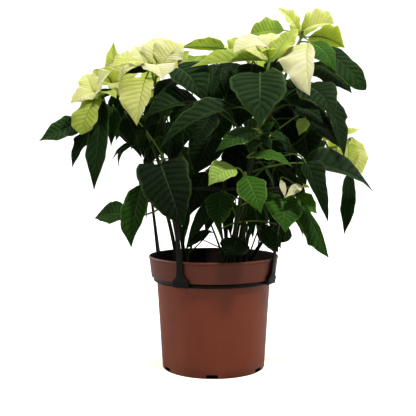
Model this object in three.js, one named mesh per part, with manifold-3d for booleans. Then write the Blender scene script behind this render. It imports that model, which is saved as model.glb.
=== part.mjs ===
// Potted poinsettia: a pale-bracted flowering plant standing in a plastic nursery pot,
// held together by a two-ring plant support clipped under the collar of the pot.
// Units are millimetres, +Z is up and the front of the plant looks along -Y.

import * as THREE from 'three';
import { mergeVertices } from 'three/addons/utils/BufferGeometryUtils.js';
import Module from 'manifold-3d';

const wasm = await Module();
wasm.setup();

// ---------------------------------------------------------------------------
// Driving dimensions
// ---------------------------------------------------------------------------

const GAP = 0.3;

const POT = {
  height: 147,
  baseRadius: 67.2,
  shoulderRadius: 74.8,
  shoulderHeight: 119.5,
  collarLowRadius: 81.5,
  rimRadius: 85,
  wall: 1.8,
  floor: 2.6,
  sides: 32,
  notches: 6,
  notchWidth: 14.5,
  notchHeight: 5,
  notchDepth: 11,
  firstNotch: -2,
};

const SOIL = {
  surface: 122,
  mound: 2.5,
  holeDepth: 14,
  sides: 24,
  holeSides: 6,
};

const SUPPORT = {
  lowRadius: 76.9,
  lowWidth: 3.6,
  lowBottom: 114.2,
  lowTop: 119.2,
  topRadius: 100,
  topWidth: 3.2,
  topBottom: 234.3,
  topTop: 237.7,
  sides: 32,
  uprightAngles: [-29, 61, 151, -119],
};

// Upright strip stations: height, inner radius, outer radius, width.
const UPRIGHT = [
  [114.6, 78.75, 84.2, 19],
  [118.8, 78.75, 84.4, 23],
  [119.2, 82.3, 84.7, 23],
  [124.5, 82.9, 85.4, 23],
  [128.5, 83.5, 86.0, 11],
  [147, 85.8, 88.3, 8.5],
  [185, 91.2, 93.5, 7],
  [234, 98.8, 101.2, 5],
];

const STEM = {
  footRadius: 3.0,
  topRadius: 2.1,
  sides: 5,
  segments: 5,
};

const BLADE = {
  edge: 0.42,
  rib: 0.75,
  petioleHalfWidth: 1.3,
  petioleHalfHeight: 0.9,
  clearance: 0.8,
};

const HUB = {
  height: 6,
  lowRadius: 2.3,
  topRadius: 3.6,
};

// ---------------------------------------------------------------------------
// Outlines: [place along the blade 0-1, half width as a share of the greatest]
// ---------------------------------------------------------------------------

const OUTLINES = {
  oval: [[0, 0.08], [0.14, 0.68], [0.34, 1], [0.6, 0.8], [0.85, 0.28], [1, 0]],
  heart: [[0, 0.5], [0.12, 0.88], [0.32, 1], [0.58, 0.78], [0.84, 0.27], [1, 0]],
  lance: [[0, 0.08], [0.13, 0.66], [0.32, 1], [0.56, 0.78], [0.82, 0.27], [1, 0]],
  tooth: [[0, 0.08], [0.16, 0.74], [0.4, 1], [0.48, 0.72], [0.68, 0.58], [0.87, 0.24], [1, 0]],
  twotooth: [
    [0, 0.08], [0.16, 0.8], [0.28, 1], [0.35, 0.72], [0.54, 0.84], [0.61, 0.57], [0.84, 0.25], [1, 0],
  ],
  bract: [[0, 0.1], [0.16, 0.62], [0.38, 1], [0.64, 0.82], [0.87, 0.29], [1, 0]],
  plain: [[0, 0.1], [0.22, 0.86], [0.5, 0.93], [0.8, 0.39], [1, 0]],
};

const HEART_SWEEP = 0.34;

// ---------------------------------------------------------------------------
// Stems: foot on the soil, bow (middle pull) and top, with the leaves of each.
// A leaf is [place on stem, blade base, blade tip, width, facing azimuth,
// facing height, outline, arch, fold]. The facing is the way the upper side
// looks: azimuth 0 is the front, 90 is +X; height 90 is straight up.
// ---------------------------------------------------------------------------

const STEMS = [
  {
    foot: [31, 12], bow: [58, 22, 300], top: [114, 10, 430],
    leaves: [
      [0.96, [146, 10, 409], [193, -26, 358], 52, 20, 40, 'oval', 0.1, 8],
      [0.985, [121, -14, 427], [158, -44, 380], 42, 10, 45, 'oval', 0.14, 8],
      [0.92, [134, 24, 401], [180, -2, 358], 48, 5, 40, 'oval', 0.08, 8],
      [0.8, [148, -20, 357], [161, -50, 271], 34, 25, 5, 'twotooth', 0.06, 12],
      [0.62, [127, 4, 322], [166, -12, 284], 34, 20, 45, 'oval', 0.12, 10],
      [0.66, [117, 34, 346], [80, 18, 276], 58, 0, 30, 'oval', 0.1, 10],
    ],
  },
  {
    foot: [22, 2], bow: [46, -24, 270], top: [68, -50, 390],
    leaves: [
      [0.9, [57, -84, 373], [50, -138, 307], 74, 0, 35, 'heart', 0.1, 10],
      [0.62, [-7, -48, 344], [-86, -96, 317], 50, -20, 60, 'lance', 0.16, 14],
      [0.55, [0, -40, 331], [-24, -58, 287], 34, -10, 30, 'oval', 0.08, 12],
      [0.33, [-3, -28, 224], [-35, -32, 160], 28, -20, 20, 'lance', 0.1, 14],
    ],
  },
  {
    foot: [-36, -5], bow: [-54, -20, 280], top: [-77, -38, 382],
    leaves: [
      [0.95, [-51, -56, 376], [-7, -90, 341], 46, 10, 50, 'oval', 0.2, 8],
      [0.9, [-43, -34, 371], [-68, -70, 336], 32, -10, 45, 'oval', 0.12, 10],
      [0.7, [-60, 6, 322], [-52, 28, 268], 36, 0, 20, 'oval', 0.1, 10],
      [0.8, [-29, 24, 354], [-42, 20, 286], 46, -5, 25, 'oval', 0.1, 10],
    ],
  },
  {
    foot: [-43, 3], bow: [-58, -6, 290], top: [-128, 20, 368],
    leaves: [
      [0.86, [-119, 26, 342], [-96, 18, 274], 42, 0, 25, 'lance', 0.1, 10],
    ],
  },
  {
    foot: [-46, -6], bow: [-66, -22, 285], top: [-142, -50, 346],
    leaves: [
      [0.95, [-138, -66, 341], [-144, -84, 234], 41, -5, 8, 'twotooth', 0.05, 10],
      [0.9, [-161, -50, 319], [-215, -60, 295], 42, -25, 38, 'lance', 0.04, 12],
      [0.84, [-149, -60, 307], [-172, -70, 261], 25, -30, 20, 'tooth', 0.1, 12],
      [0.88, [-128, -54, 337], [-116, -66, 286], 22, 10, 15, 'lance', 0.06, 10],
      [0.64, [-99, -50, 297], [-126, -58, 276], 12, -30, 50, 'lance', 0.24, 16],
      [0.6, [-93, -44, 290], [-116, -50, 264], 16, -30, 50, 'lance', 0.26, 16],
    ],
  },
  {
    foot: [40, 20], bow: [50, 24, 268], top: [184, 58, 294],
    leaves: [
      [0.86, [179, 22, 257], [176, 16, 173], 27, 15, 5, 'lance', 0.05, 12],
      [0.33, [69, 30, 173], [108, 24, 163], 34, 10, 35, 'oval', 0.1, 10],
      [0.24, [63, 12, 182], [82, -4, 154], 27, 10, 25, 'oval', 0.12, 10],
    ],
  },
  {
    foot: [18, 14], bow: [14, 40, 290], top: [17, 62, 416],
    leaves: [
      [0.9, [1, 36, 401], [-3, 14, 356], 36, -5, 25, 'oval', 0.1, 10],
      [0.86, [30, 30, 397], [14, 8, 357], 32, 10, 30, 'oval', 0.1, 10],
      [0.62, [11, -8, 341], [8, -28, 294], 32, 5, 25, 'oval', 0.1, 10],
      [0.7, [16, 36, 352], [-11, 24, 284], 56, -5, 30, 'oval', 0.1, 10],
      [0.8, [43, 24, 368], [31, 4, 310], 50, 0, 30, 'oval', 0.1, 10],
      [0.56, [4, 20, 311], [-24, 10, 255], 54, -5, 30, 'oval', 0.1, 10],
      [0.5, [30, 44, 297], [40, 34, 231], 48, 5, 30, 'oval', 0.1, 10],
      [0.38, [-11, 44, 256], [-32, 34, 196], 46, -10, 30, 'oval', 0.1, 10],
      [0.3, [-7, 24, 213], [-33, 20, 157], 20, -35, 10, 'lance', 0.05, 12],
    ],
  },
  {
    foot: [-34, 8], bow: [-60, 70, 240], top: [-98, 105, 372],
    leaves: [
      [0.62, [-73, 50, 328], [-87, 42, 264], 50, -5, 30, 'oval', 0.1, 10],
    ],
  },
  {
    foot: [27, 26], bow: [40, 90, 250], top: [66, 122, 398],
    leaves: [
      [0.82, [100, 66, 366], [68, 48, 298], 60, 0, 35, 'oval', 0.1, 10],
      [0.66, [121, 58, 330], [137, 46, 265], 54, 10, 30, 'oval', 0.1, 10],
      [0.52, [78, 50, 284], [50, 40, 224], 52, 0, 30, 'oval', 0.1, 10],
    ],
  },
  {
    foot: [16, -8], bow: [26, -60, 180], top: [37, -92, 256],
    leaves: [
      [0.985, [36, -107, 252], [53, -130, 209], 36, 10, 30, 'oval', 0.08, 8],
      [0.96, [25, -104, 261], [-7, -118, 240], 32, -15, 45, 'oval', 0.14, 14],
      [0.72, [75, -62, 232], [85, -86, 184], 50, 15, 35, 'heart', 0.1, 8],
      [0.6, [9, -70, 232], [5, -84, 188], 36, -10, 15, 'oval', 0.1, 12],
      [0.35, [30, -52, 174], [20, -62, 147], 38, 0, 40, 'oval', 0.1, 8],
    ],
  },
  {
    foot: [38, 0], bow: [72, 0, 175], top: [107, -20, 234],
    leaves: [
      [0.93, [99, -44, 211], [142, -60, 150], 36, 15, 25, 'tooth', 0.03, 10],
      [0.97, [108, -34, 229], [132, -44, 205], 27, 10, 20, 'oval', 0.08, 12],
      [0.4, [60, -48, 184], [80, -56, 156], 25, 10, 30, 'oval', 0.1, 10],
    ],
  },
  {
    foot: [28, -5], bow: [40, -50, 220], top: [57, -72, 328],
    leaves: [
      [0.95, [28, -84, 350], [-63, -110, 286], 50, -15, 55, 'tooth', 0.16, 16],
      [0.97, [107, -68, 354], [139, -118, 309], 56, 10, 55, 'oval', 0.16, 12],
      [0.88, [106, -12, 341], [152, -34, 302], 42, 15, 45, 'oval', 0.12, 10],
      [0.66, [107, -72, 267], [214, 18, 229], 58, 35, 45, 'lance', 0.12, 22],
      [0.6, [112, -82, 267], [135, -92, 197], 31, 15, 10, 'tooth', 0.04, 12],
      [0.78, [46, -98, 274], [91, -106, 262], 31, 5, 60, 'oval', 0.16, 10],
      [0.86, [51, -98, 304], [1, -114, 279], 31, -10, 50, 'oval', 0.12, 12],
    ],
  },
  {
    foot: [-40, -14], bow: [-46, -55, 180], top: [-62, -72, 266],
    leaves: [
      [0.97, [-61, -94, 267], [-35, -130, 194], 62, -8, 25, 'heart', 0.08, 10],
      [0.86, [-86, -76, 238], [-99, -88, 165], 36, -15, 12, 'lance', 0.06, 12],
      [0.72, [-108, -50, 202], [-151, -36, 197], 36, -25, 45, 'oval', 0.12, 12],
    ],
  },
];

// ---------------------------------------------------------------------------
// Flower heads: the stem that carries each, and its bracts as
// [stalk, blade tip, width, facing azimuth, facing height, arch, fold].
// The stalk is a length out from the head, or the blade base where it hangs away.
// ---------------------------------------------------------------------------

const BLOOMS = [
  {
    stem: 1, buds: true,
    bracts: [
      [7, [82, -6, 467], 23, 0, 40, 0.11, 22],
      [7, [156, -8, 449], 53, 0, 62, 0.18, 28],
      [12, [176, 34, 416], 51, 160, 50, 0.14, 10],
      [[93, 20, 443], [49, 30, 440], 46, -10, 32, 0.06, 10],
      [[112, -26, 417], [118, -70, 347], 58, -25, 25, 0.12, 10],
      [10, [139, 80, 458], 44, 170, 60, 0.12, 12],
    ],
  },
  {
    stem: 2, buds: true,
    bracts: [
      [7, [108, -22, 437], 34, -30, 50, 0.08, 16],
      [10, [21, -100, 392], 44, -20, 60, 0.16, 12],
      [10, [-36, -82, 378], 46, -10, 50, 0.05, 14],
      [8, [32, -4, 428], 42, 0, 50, 0.1, 10],
      [8, [84, 14, 432], 42, 0, 60, 0.1, 10],
      [10, [58, -112, 394], 38, 0, 70, 0.16, 12],
    ],
  },
  {
    stem: 3, buds: true,
    bracts: [
      [8, [-73, 16, 432], 52, 0, 50, 0.08, 10],
      [8, [-38, -22, 416], 46, 0, 45, 0.08, 12],
      [10, [-66, -102, 364], 52, 5, 50, 0.14, 10],
      [10, [-122, -76, 376], 46, -30, 60, 0.14, 12],
      [12, [-47, -76, 370], 36, 20, 45, 0.12, 12],
      [8, [-108, -2, 408], 40, -20, 50, 0.1, 10],
      [[-87, -56, 370], [-92, -92, 308], 56, -8, 20, 0.1, 10],
      [12, [-12, -8, 402], 26, 0, 60, 0.08, 12],
    ],
  },
  {
    stem: 4, buds: true,
    bracts: [
      [9, [-134, 32, 431], 26, 0, 20, 0.02, 18],
      [8, [-153, -20, 386], 36, -30, 60, 0.16, 12],
      [8, [-99, 42, 418], 46, 0, 42, 0.1, 10],
      [8, [-173, 50, 386], 36, -60, 60, 0.14, 12],
      [8, [-116, -30, 352], 32, 0, 50, 0.14, 10],
    ],
  },
  {
    stem: 5, buds: true,
    bracts: [
      [11, [-168, -80, 337], 40, -40, 50, 0.12, 12],
      [14, [-152, -86, 301], 44, -15, 20, 0.1, 10],
      [8, [-164, -10, 382], 36, -20, 50, 0.12, 12],
      [8, [-121, -92, 378], 38, 10, 60, 0.14, 10],
      [14, [-114, -98, 342], 32, 15, 50, 0.14, 12],
    ],
  },
  {
    stem: 6, buds: true,
    bracts: [
      [8, [196, 44, 245], 44, 15, 15, 0.1, 14],
      [10, [181, 28, 262], 32, 5, 30, 0.12, 12],
      [7, [211, 92, 312], 24, 120, 60, 0.12, 12],
      [8, [170, 104, 270], 36, 170, 40, 0.14, 12],
      [8, [130, 74, 314], 32, -20, 55, 0.12, 12],
    ],
  },
  {
    stem: 7, buds: true,
    bracts: [
      [9, [-40, 34, 423], 36, 180, 55, 0.12, 12],
      [8, [45, 66, 439], 32, 0, 40, 0.12, 12],
      [8, [-2, 120, 438], 42, 180, 60, 0.14, 12],
      [9, [46, 110, 428], 40, 150, 60, 0.14, 12],
      [9, [-26, 102, 418], 36, -150, 60, 0.14, 12],
    ],
  },
  {
    stem: 8, buds: true,
    bracts: [
      [9, [-158, 128, 370], 44, -110, 50, 0.14, 12],
      [9, [-112, 172, 360], 50, 180, 45, 0.14, 12],
      [9, [-52, 148, 362], 42, 150, 50, 0.14, 12],
      [8, [-62, 66, 392], 36, 20, 60, 0.14, 12],
      [8, [-138, 70, 392], 40, -40, 60, 0.14, 12],
      [7, [-84, 130, 428], 30, 180, 20, 0.08, 14],
    ],
  },
  {
    stem: 9, buds: true,
    bracts: [
      [9, [20, 170, 384], 48, -170, 45, 0.14, 12],
      [9, [78, 190, 380], 52, 175, 40, 0.14, 12],
      [9, [126, 148, 396], 46, 120, 50, 0.14, 12],
      [8, [116, 92, 418], 40, 40, 60, 0.14, 12],
      [8, [28, 90, 420], 40, -20, 60, 0.14, 12],
      [7, [64, 146, 452], 30, 180, 20, 0.08, 14],
    ],
  },
  {
    stem: 11, buds: false,
    bracts: [
      [6, [85, -40, 228], 15, -5, 35, 0.12, 20],
      [5, [122, -30, 236], 9, 10, 50, 0.1, 14],
    ],
  },
];

// Ordinary foliage: leaves fanned out round the back of each stem, as
// [stem, first place, last place, how many, fan from, fan to, blade length].
const FOLIAGE = [
  [1, 0.45, 0.88, 3, 120, 220, 82],
  [2, 0.5, 0.88, 2, 130, 230, 74],
  [3, 0.5, 0.88, 2, 130, 230, 78],
  [4, 0.5, 0.92, 3, 160, 260, 76],
  [5, 0.6, 0.85, 2, 170, 270, 68],
  [6, 0.55, 0.9, 3, 120, 220, 66],
  [7, 0.5, 0.9, 2, 130, 230, 86],
  [8, 0.4, 0.93, 7, 140, 240, 88],
  [9, 0.4, 0.93, 7, 110, 210, 90],
];

const GOLDEN_ANGLE = 137.5;

// Small turns (about the upright through the stem) and lifts, in degrees,
// tried in this order until a blade hangs clear of what is already there.
const NUDGES = [
  [0, 0], [0, 4], [0, -4], [5, 0], [-5, 0], [5, 4], [-5, 4], [5, -4], [-5, -4],
  [0, 8], [0, -8], [9, 0], [-9, 0], [9, 6], [-9, 6], [9, -6], [-9, -6],
  [0, 12], [0, -12], [14, 0], [-14, 0], [14, 8], [-14, 8], [14, -8], [-14, -8],
  [0, 18], [0, -18], [20, 0], [-20, 0], [20, 10], [-20, 10], [20, -10], [-20, -10],
];

// ---------------------------------------------------------------------------
// Materials
// ---------------------------------------------------------------------------

const MATERIALS = {
  pot: new THREE.MeshStandardMaterial({ color: 0xa0654c, roughness: 0.5, metalness: 0 }),
  soil: new THREE.MeshStandardMaterial({ color: 0x2a1d15, roughness: 1, metalness: 0 }),
  support: new THREE.MeshStandardMaterial({ color: 0x1c2622, roughness: 0.5, metalness: 0 }),
  foliage: new THREE.MeshStandardMaterial({ color: 0x2f5a33, roughness: 0.6, metalness: 0 }),
  bract: new THREE.MeshStandardMaterial({ color: 0xe6e6b4, roughness: 0.6, metalness: 0 }),
  bud: new THREE.MeshStandardMaterial({ color: 0xa9b84a, roughness: 0.55, metalness: 0 }),
};

// ---------------------------------------------------------------------------
// Small helpers
// ---------------------------------------------------------------------------

const UP = new THREE.Vector3(0, 0, 1);
const rad = THREE.MathUtils.degToRad;

function vec(list) {
  return new THREE.Vector3(list[0], list[1], list[2]);
}

function direction(azimuth, height) {
  const a = rad(azimuth);
  const h = rad(height);
  return new THREE.Vector3(Math.sin(a) * Math.cos(h), -Math.cos(a) * Math.cos(h), Math.sin(h));
}

function solidFrom(geometry) {
  const clean = geometry.index ? geometry : geometry.clone();
  clean.deleteAttribute('normal');
  clean.deleteAttribute('uv');
  const merged = mergeVertices(clean, 1e-4);
  const triangles = [];
  for (let i = 0; i < merged.index.count; i += 3) {
    const [a, b, c] = merged.index.array.slice(i, i + 3);
    if (a !== b && b !== c && c !== a) {
      triangles.push(a, b, c);
    }
  }
  const mesh = new wasm.Mesh({
    numProp: 3,
    vertProperties: new Float32Array(merged.attributes.position.array),
    triVerts: new Uint32Array(triangles),
  });
  return new wasm.Manifold(mesh);
}

function geometryFrom(points, triangles) {
  const geometry = new THREE.BufferGeometry();
  const positions = points.flatMap((p) => [p.x, p.y, p.z]);
  geometry.setAttribute('position', new THREE.Float32BufferAttribute(positions, 3));
  geometry.setIndex(triangles);
  return geometry;
}

function meshFrom(solid, name, material) {
  const data = solid.getMesh();
  const geometry = new THREE.BufferGeometry();
  geometry.setAttribute('position', new THREE.Float32BufferAttribute(data.vertProperties, 3));
  geometry.setIndex(new THREE.Uint32BufferAttribute(data.triVerts, 1));
  geometry.computeVertexNormals();
  const mesh = new THREE.Mesh(geometry, material.clone());
  mesh.name = name;
  return mesh;
}

// A closed ring of revolution about the pot axis from an outline of [radius, height].
function latheSolid(outline, sides) {
  const closed = [...outline, outline[0]];
  const geometry = new THREE.LatheGeometry(closed.map(([r, z]) => new THREE.Vector2(r, z)), sides);
  geometry.rotateX(Math.PI / 2);
  return solidFrom(geometry);
}

// A closed tube through rings of the same number of points, capped at both ends.
function tubeSolid(rings) {
  const count = rings[0].length;
  const points = rings.flat();
  const triangles = [];
  for (let i = 0; i + 1 < rings.length; i += 1) {
    for (let j = 0; j < count; j += 1) {
      const a = i * count + j;
      const b = i * count + ((j + 1) % count);
      triangles.push(a, b, b + count, a, b + count, a + count);
    }
  }
  const last = (rings.length - 1) * count;
  for (let j = 1; j + 1 < count; j += 1) {
    triangles.push(0, j + 1, j);
    triangles.push(last, last + j, last + j + 1);
  }
  return solidFrom(geometryFrom(points, triangles));
}

// ---------------------------------------------------------------------------
// Pot
// ---------------------------------------------------------------------------

function wallRadius(z) {
  return POT.baseRadius + (POT.shoulderRadius - POT.baseRadius) * (z / POT.shoulderHeight);
}

function makePot() {
  const { height, shoulderHeight, wall, floor } = POT;
  const step = shoulderHeight + 2.2;
  const outline = [
    [0, 0],
    [POT.baseRadius, 0],
    [POT.shoulderRadius, shoulderHeight],
    [POT.collarLowRadius, shoulderHeight],
    [POT.rimRadius - 0.4, height - 2],
    [POT.rimRadius, height],
    [POT.rimRadius - wall, height],
    [POT.collarLowRadius - wall, step],
    [wallRadius(step) - wall, step],
    [wallRadius(floor) - wall, floor],
    [0, floor],
  ];
  const body = latheSolid(outline, POT.sides);
  const cutters = [];
  for (let i = 0; i < POT.notches; i += 1) {
    const angle = rad(POT.firstNotch + (360 / POT.notches) * i);
    const block = new THREE.BoxGeometry(POT.notchWidth, POT.notchDepth, POT.notchHeight * 2);
    block.translate(0, -(POT.baseRadius + 3 - POT.notchDepth / 2), 0);
    block.rotateZ(angle);
    cutters.push(solidFrom(block));
  }
  return body.subtract(wasm.Manifold.union(cutters));
}

// ---------------------------------------------------------------------------
// Soil: a low mound with a plain hole for each stem
// ---------------------------------------------------------------------------

function makeSoil() {
  const bottom = POT.floor + GAP;
  const edge = (z) => wallRadius(z) - POT.wall - GAP - 0.3;
  const top = SOIL.surface - 3;
  const outline = [
    [0, bottom],
    [edge(bottom), bottom],
    [edge(top), top],
    [edge(top) * 0.7, SOIL.surface - 0.5],
    [0, SOIL.surface + SOIL.mound],
  ];
  const body = latheSolid(outline, SOIL.sides);
  const holes = STEMS.map(({ foot }) => {
    const radius = (STEM.footRadius + GAP) / Math.cos(Math.PI / SOIL.holeSides);
    const hole = new THREE.CylinderGeometry(radius, radius, 60, SOIL.holeSides);
    hole.rotateX(Math.PI / 2);
    hole.translate(foot[0], foot[1], SOIL.surface - SOIL.holeDepth + 30);
    return solidFrom(hole);
  });
  return body.subtract(wasm.Manifold.union(holes));
}

// ---------------------------------------------------------------------------
// Plant support: two rings and four uprights
// ---------------------------------------------------------------------------

function makeRing(radius, width, bottom, top) {
  const inner = radius - width / 2;
  const outer = radius + width / 2;
  return latheSolid([[inner, bottom], [outer, bottom], [outer, top], [inner, top]], SUPPORT.sides);
}

function makeUpright(angle) {
  const rings = UPRIGHT.map(([z, inner, outer, width]) => {
    const corners = [[-width / 2, -inner], [-width / 2, -outer], [width / 2, -outer], [width / 2, -inner]];
    return corners.map(([x, y]) => new THREE.Vector3(x, y, z).applyAxisAngle(UP, rad(angle)));
  });
  return tubeSolid(rings);
}

// ---------------------------------------------------------------------------
// Stems
// ---------------------------------------------------------------------------

function stemPoint(stem, t) {
  const foot = new THREE.Vector3(stem.foot[0], stem.foot[1], SOIL.surface + 3);
  const a = foot.multiplyScalar((1 - t) * (1 - t));
  const b = vec(stem.bow).multiplyScalar(2 * t * (1 - t));
  const c = vec(stem.top).multiplyScalar(t * t);
  return a.add(b).add(c);
}

function stemDirection(stem, t) {
  const foot = new THREE.Vector3(stem.foot[0], stem.foot[1], SOIL.surface + 3);
  const a = vec(stem.bow).sub(foot).multiplyScalar(1 - t);
  const b = vec(stem.top).sub(vec(stem.bow)).multiplyScalar(t);
  return a.add(b).normalize();
}

// The way the top of a stem and the flower head on it look.
function headDirection(stem) {
  return stemDirection(stem, 1).add(UP).normalize();
}

function circleRing(centre, axis, radius, sides) {
  const side = new THREE.Vector3(1, 0, 0);
  side.addScaledVector(axis, -side.dot(axis)).normalize();
  const other = new THREE.Vector3().crossVectors(axis, side);
  const ring = [];
  for (let i = 0; i < sides; i += 1) {
    const a = (2 * Math.PI * i) / sides;
    const point = centre.clone();
    point.addScaledVector(side, Math.cos(a) * radius);
    point.addScaledVector(other, Math.sin(a) * radius);
    ring.push(point);
  }
  return ring;
}

function makeStem(stem) {
  const buried = new THREE.Vector3(stem.foot[0], stem.foot[1], SOIL.surface - SOIL.holeDepth + GAP);
  const rings = [circleRing(buried, UP, STEM.footRadius, STEM.sides)];
  for (let i = 0; i <= STEM.segments; i += 1) {
    const t = i / STEM.segments;
    const radius = STEM.footRadius + (STEM.topRadius - STEM.footRadius) * t;
    const axis = i === STEM.segments ? headDirection(stem) : stemDirection(stem, t);
    rings.push(circleRing(stemPoint(stem, t), i === 0 ? UP : axis, radius, STEM.sides));
  }
  return tubeSolid(rings);
}

// ---------------------------------------------------------------------------
// Blades: one leaf or bract on its stalk, six points to a section
// ---------------------------------------------------------------------------

// Carries a side vector along a bending path without twisting it.
function carry(side, from, to) {
  const share = side.dot(to) / (1 + from.dot(to));
  return side.clone().addScaledVector(from, -share).addScaledVector(to, -share).normalize();
}

function bladeFrame(blade) {
  const span = blade.tip.clone().sub(blade.base);
  const length = span.length();
  const chord = span.clone().normalize();
  const face = direction(blade.azimuth, blade.height);
  const normal = face.addScaledVector(chord, -face.dot(chord)).normalize();
  const side = new THREE.Vector3().crossVectors(chord, normal);
  return { length, chord, normal, side };
}

function ribPoint(blade, frame, s) {
  const point = blade.base.clone().addScaledVector(frame.chord, frame.length * s);
  return point.addScaledVector(frame.normal, frame.length * blade.arch * 4 * s * (1 - s));
}

function ribDirection(blade, frame, s) {
  const slope = blade.arch * 4 * (1 - 2 * s);
  return frame.chord.clone().addScaledVector(frame.normal, slope).normalize();
}

function section(centre, along, side, half, fold, ribHalf, edgeHalf, sweep) {
  const normal = new THREE.Vector3().crossVectors(side, along);
  const edge = (q) => {
    const point = centre.clone().addScaledVector(side, q * half * Math.cos(fold));
    return point.addScaledVector(normal, half * Math.sin(fold)).addScaledVector(along, -sweep);
  };
  const shift = (point, amount) => point.clone().addScaledVector(normal, amount);
  const left = edge(-1);
  const right = edge(1);
  return [
    shift(left, edgeHalf), shift(centre, ribHalf), shift(right, edgeHalf),
    shift(right, -edgeHalf), shift(centre, -ribHalf), shift(left, -edgeHalf),
  ];
}

// The stalk sections, from the middle of the stem to just short of the blade.
function stalkSections(blade, frame) {
  const start = ribDirection(blade, frame, 0);
  const reach = blade.base.distanceTo(blade.root);
  const end = blade.base.clone();
  const pull = blade.base.clone().addScaledVector(start, -0.45 * reach);
  const path = (u) => {
    const a = blade.root.clone().multiplyScalar((1 - u) * (1 - u));
    return a.addScaledVector(pull, 2 * u * (1 - u)).addScaledVector(end, u * u);
  };
  const heading = (u) => {
    const a = pull.clone().sub(blade.root).multiplyScalar(1 - u);
    return a.addScaledVector(end.clone().sub(pull), u).normalize();
  };
  const places = reach > 22 ? [0, 0.5] : [0];
  if (blade.outline === 'heart') {
    places.push(1 - 1.5 / reach);
  }
  let along = start;
  let side = frame.side;
  const sections = [];
  for (const u of [...places].reverse()) {
    const next = heading(u);
    side = carry(side, along, next);
    along = next;
    const { petioleHalfWidth, petioleHalfHeight } = BLADE;
    sections.unshift(section(path(u), along, side, petioleHalfWidth, 0, petioleHalfHeight, 0.4, 0));
  }
  return sections;
}

function bladeSections(blade, frame) {
  const outline = OUTLINES[blade.outline];
  return outline.slice(0, -1).map(([s, share]) => {
    const half = (blade.width / 2) * share;
    const sweepShare = blade.outline === 'heart' ? HEART_SWEEP * Math.max(0, 1 - s / 0.3) ** 2 : 0;
    const centre = ribPoint(blade, frame, s);
    const along = ribDirection(blade, frame, s);
    const fold = rad(blade.fold);
    const sweep = (blade.width / 2) * sweepShare;
    return section(centre, along, frame.side, half, fold, BLADE.rib, BLADE.edge, sweep);
  });
}

// Joins six-point sections and closes them at a two-point tip. The upper and the
// under side are split along the same diagonals, so the blade keeps one thickness.
function loftSolid(sections, tipTop, tipBottom) {
  const points = [...sections.flat(), tipTop, tipBottom];
  const triangles = [0, 5, 4, 0, 4, 3, 0, 3, 2, 0, 2, 1];
  const crossed = [0, 3];
  for (let i = 0; i + 1 < sections.length; i += 1) {
    for (let j = 0; j < 6; j += 1) {
      const a = i * 6 + j;
      const b = i * 6 + ((j + 1) % 6);
      if (crossed.includes(j)) {
        triangles.push(a, b, a + 6, b, b + 6, a + 6);
      } else {
        triangles.push(a, b, b + 6, a, b + 6, a + 6);
      }
    }
  }
  const k = (sections.length - 1) * 6;
  const top = sections.length * 6;
  const bottom = top + 1;
  triangles.push(k, k + 1, top, k + 1, k + 2, top);
  triangles.push(k + 2, k + 3, bottom, k + 2, bottom, top);
  triangles.push(k + 3, k + 4, bottom, k + 4, k + 5, bottom);
  triangles.push(k + 5, k, top, k + 5, top, bottom);
  return solidFrom(geometryFrom(points, triangles));
}

function makeBlade(blade) {
  const frame = bladeFrame(blade);
  const stalk = stalkSections(blade, frame);
  const leaf = bladeSections(blade, frame);
  const along = ribDirection(blade, frame, 1);
  const normal = new THREE.Vector3().crossVectors(frame.side, along);
  const tipTop = blade.tip.clone().addScaledVector(normal, BLADE.edge);
  const tipBottom = blade.tip.clone().addScaledVector(normal, -BLADE.edge);
  return {
    whole: loftSolid([...stalk, ...leaf], tipTop, tipBottom),
    outer: loftSolid(leaf.slice(blade.free), tipTop, tipBottom),
  };
}

function turned(blade, [turn, lift]) {
  const away = blade.tip.clone().sub(blade.root).setZ(0).normalize();
  const axis = new THREE.Vector3().crossVectors(away, UP);
  const move = (point) => {
    const arm = point.clone().sub(blade.root).applyAxisAngle(axis, rad(lift)).applyAxisAngle(UP, rad(turn));
    return arm.add(blade.root);
  };
  return { ...blade, base: move(blade.base), tip: move(blade.tip), azimuth: blade.azimuth + turn };
}

// ---------------------------------------------------------------------------
// Keeping the pieces clear of one another
// ---------------------------------------------------------------------------

const standing = [];

function boxesMeet(a, b, margin) {
  for (let i = 0; i < 3; i += 1) {
    if (a.min[i] > b.max[i] + margin || b.min[i] > a.max[i] + margin) {
      return false;
    }
  }
  return true;
}

function stand(owner, whole, outer) {
  standing.push({ owner, whole, outer, box: whole.boundingBox() });
}

function isClear(owner, { whole, outer }) {
  const box = whole.boundingBox();
  return standing.every((other) => {
    if (!boxesMeet(box, other.box, BLADE.clearance)) {
      return true;
    }
    const same = other.owner === owner;
    if (same && !other.outer) {
      return true;
    }
    const mine = same ? outer : whole;
    const theirs = same ? other.outer : other.whole;
    return mine.minGap(theirs, BLADE.clearance * 2) >= BLADE.clearance;
  });
}

// Adds a blade to its owner where it hangs clear, or leaves it out where no nudge helps.
function grow(owner, parts, blade) {
  for (const nudge of NUDGES) {
    const made = makeBlade(turned(blade, nudge));
    if (isClear(owner, made)) {
      parts.push(made.whole);
      stand(owner, made.whole, made.outer);
      return;
    }
  }
}

// ---------------------------------------------------------------------------
// Flower heads
// ---------------------------------------------------------------------------

function makeHub(stem) {
  const axis = headDirection(stem);
  const low = vec(stem.top).addScaledVector(axis, GAP);
  const high = low.clone().addScaledVector(axis, HUB.height);
  return tubeSolid([circleRing(low, axis, HUB.lowRadius, 5), circleRing(high, axis, HUB.topRadius, 5)]);
}

function hubMiddle(stem) {
  const axis = headDirection(stem);
  return vec(stem.top).addScaledVector(axis, GAP + HUB.height * 0.55);
}

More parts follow.
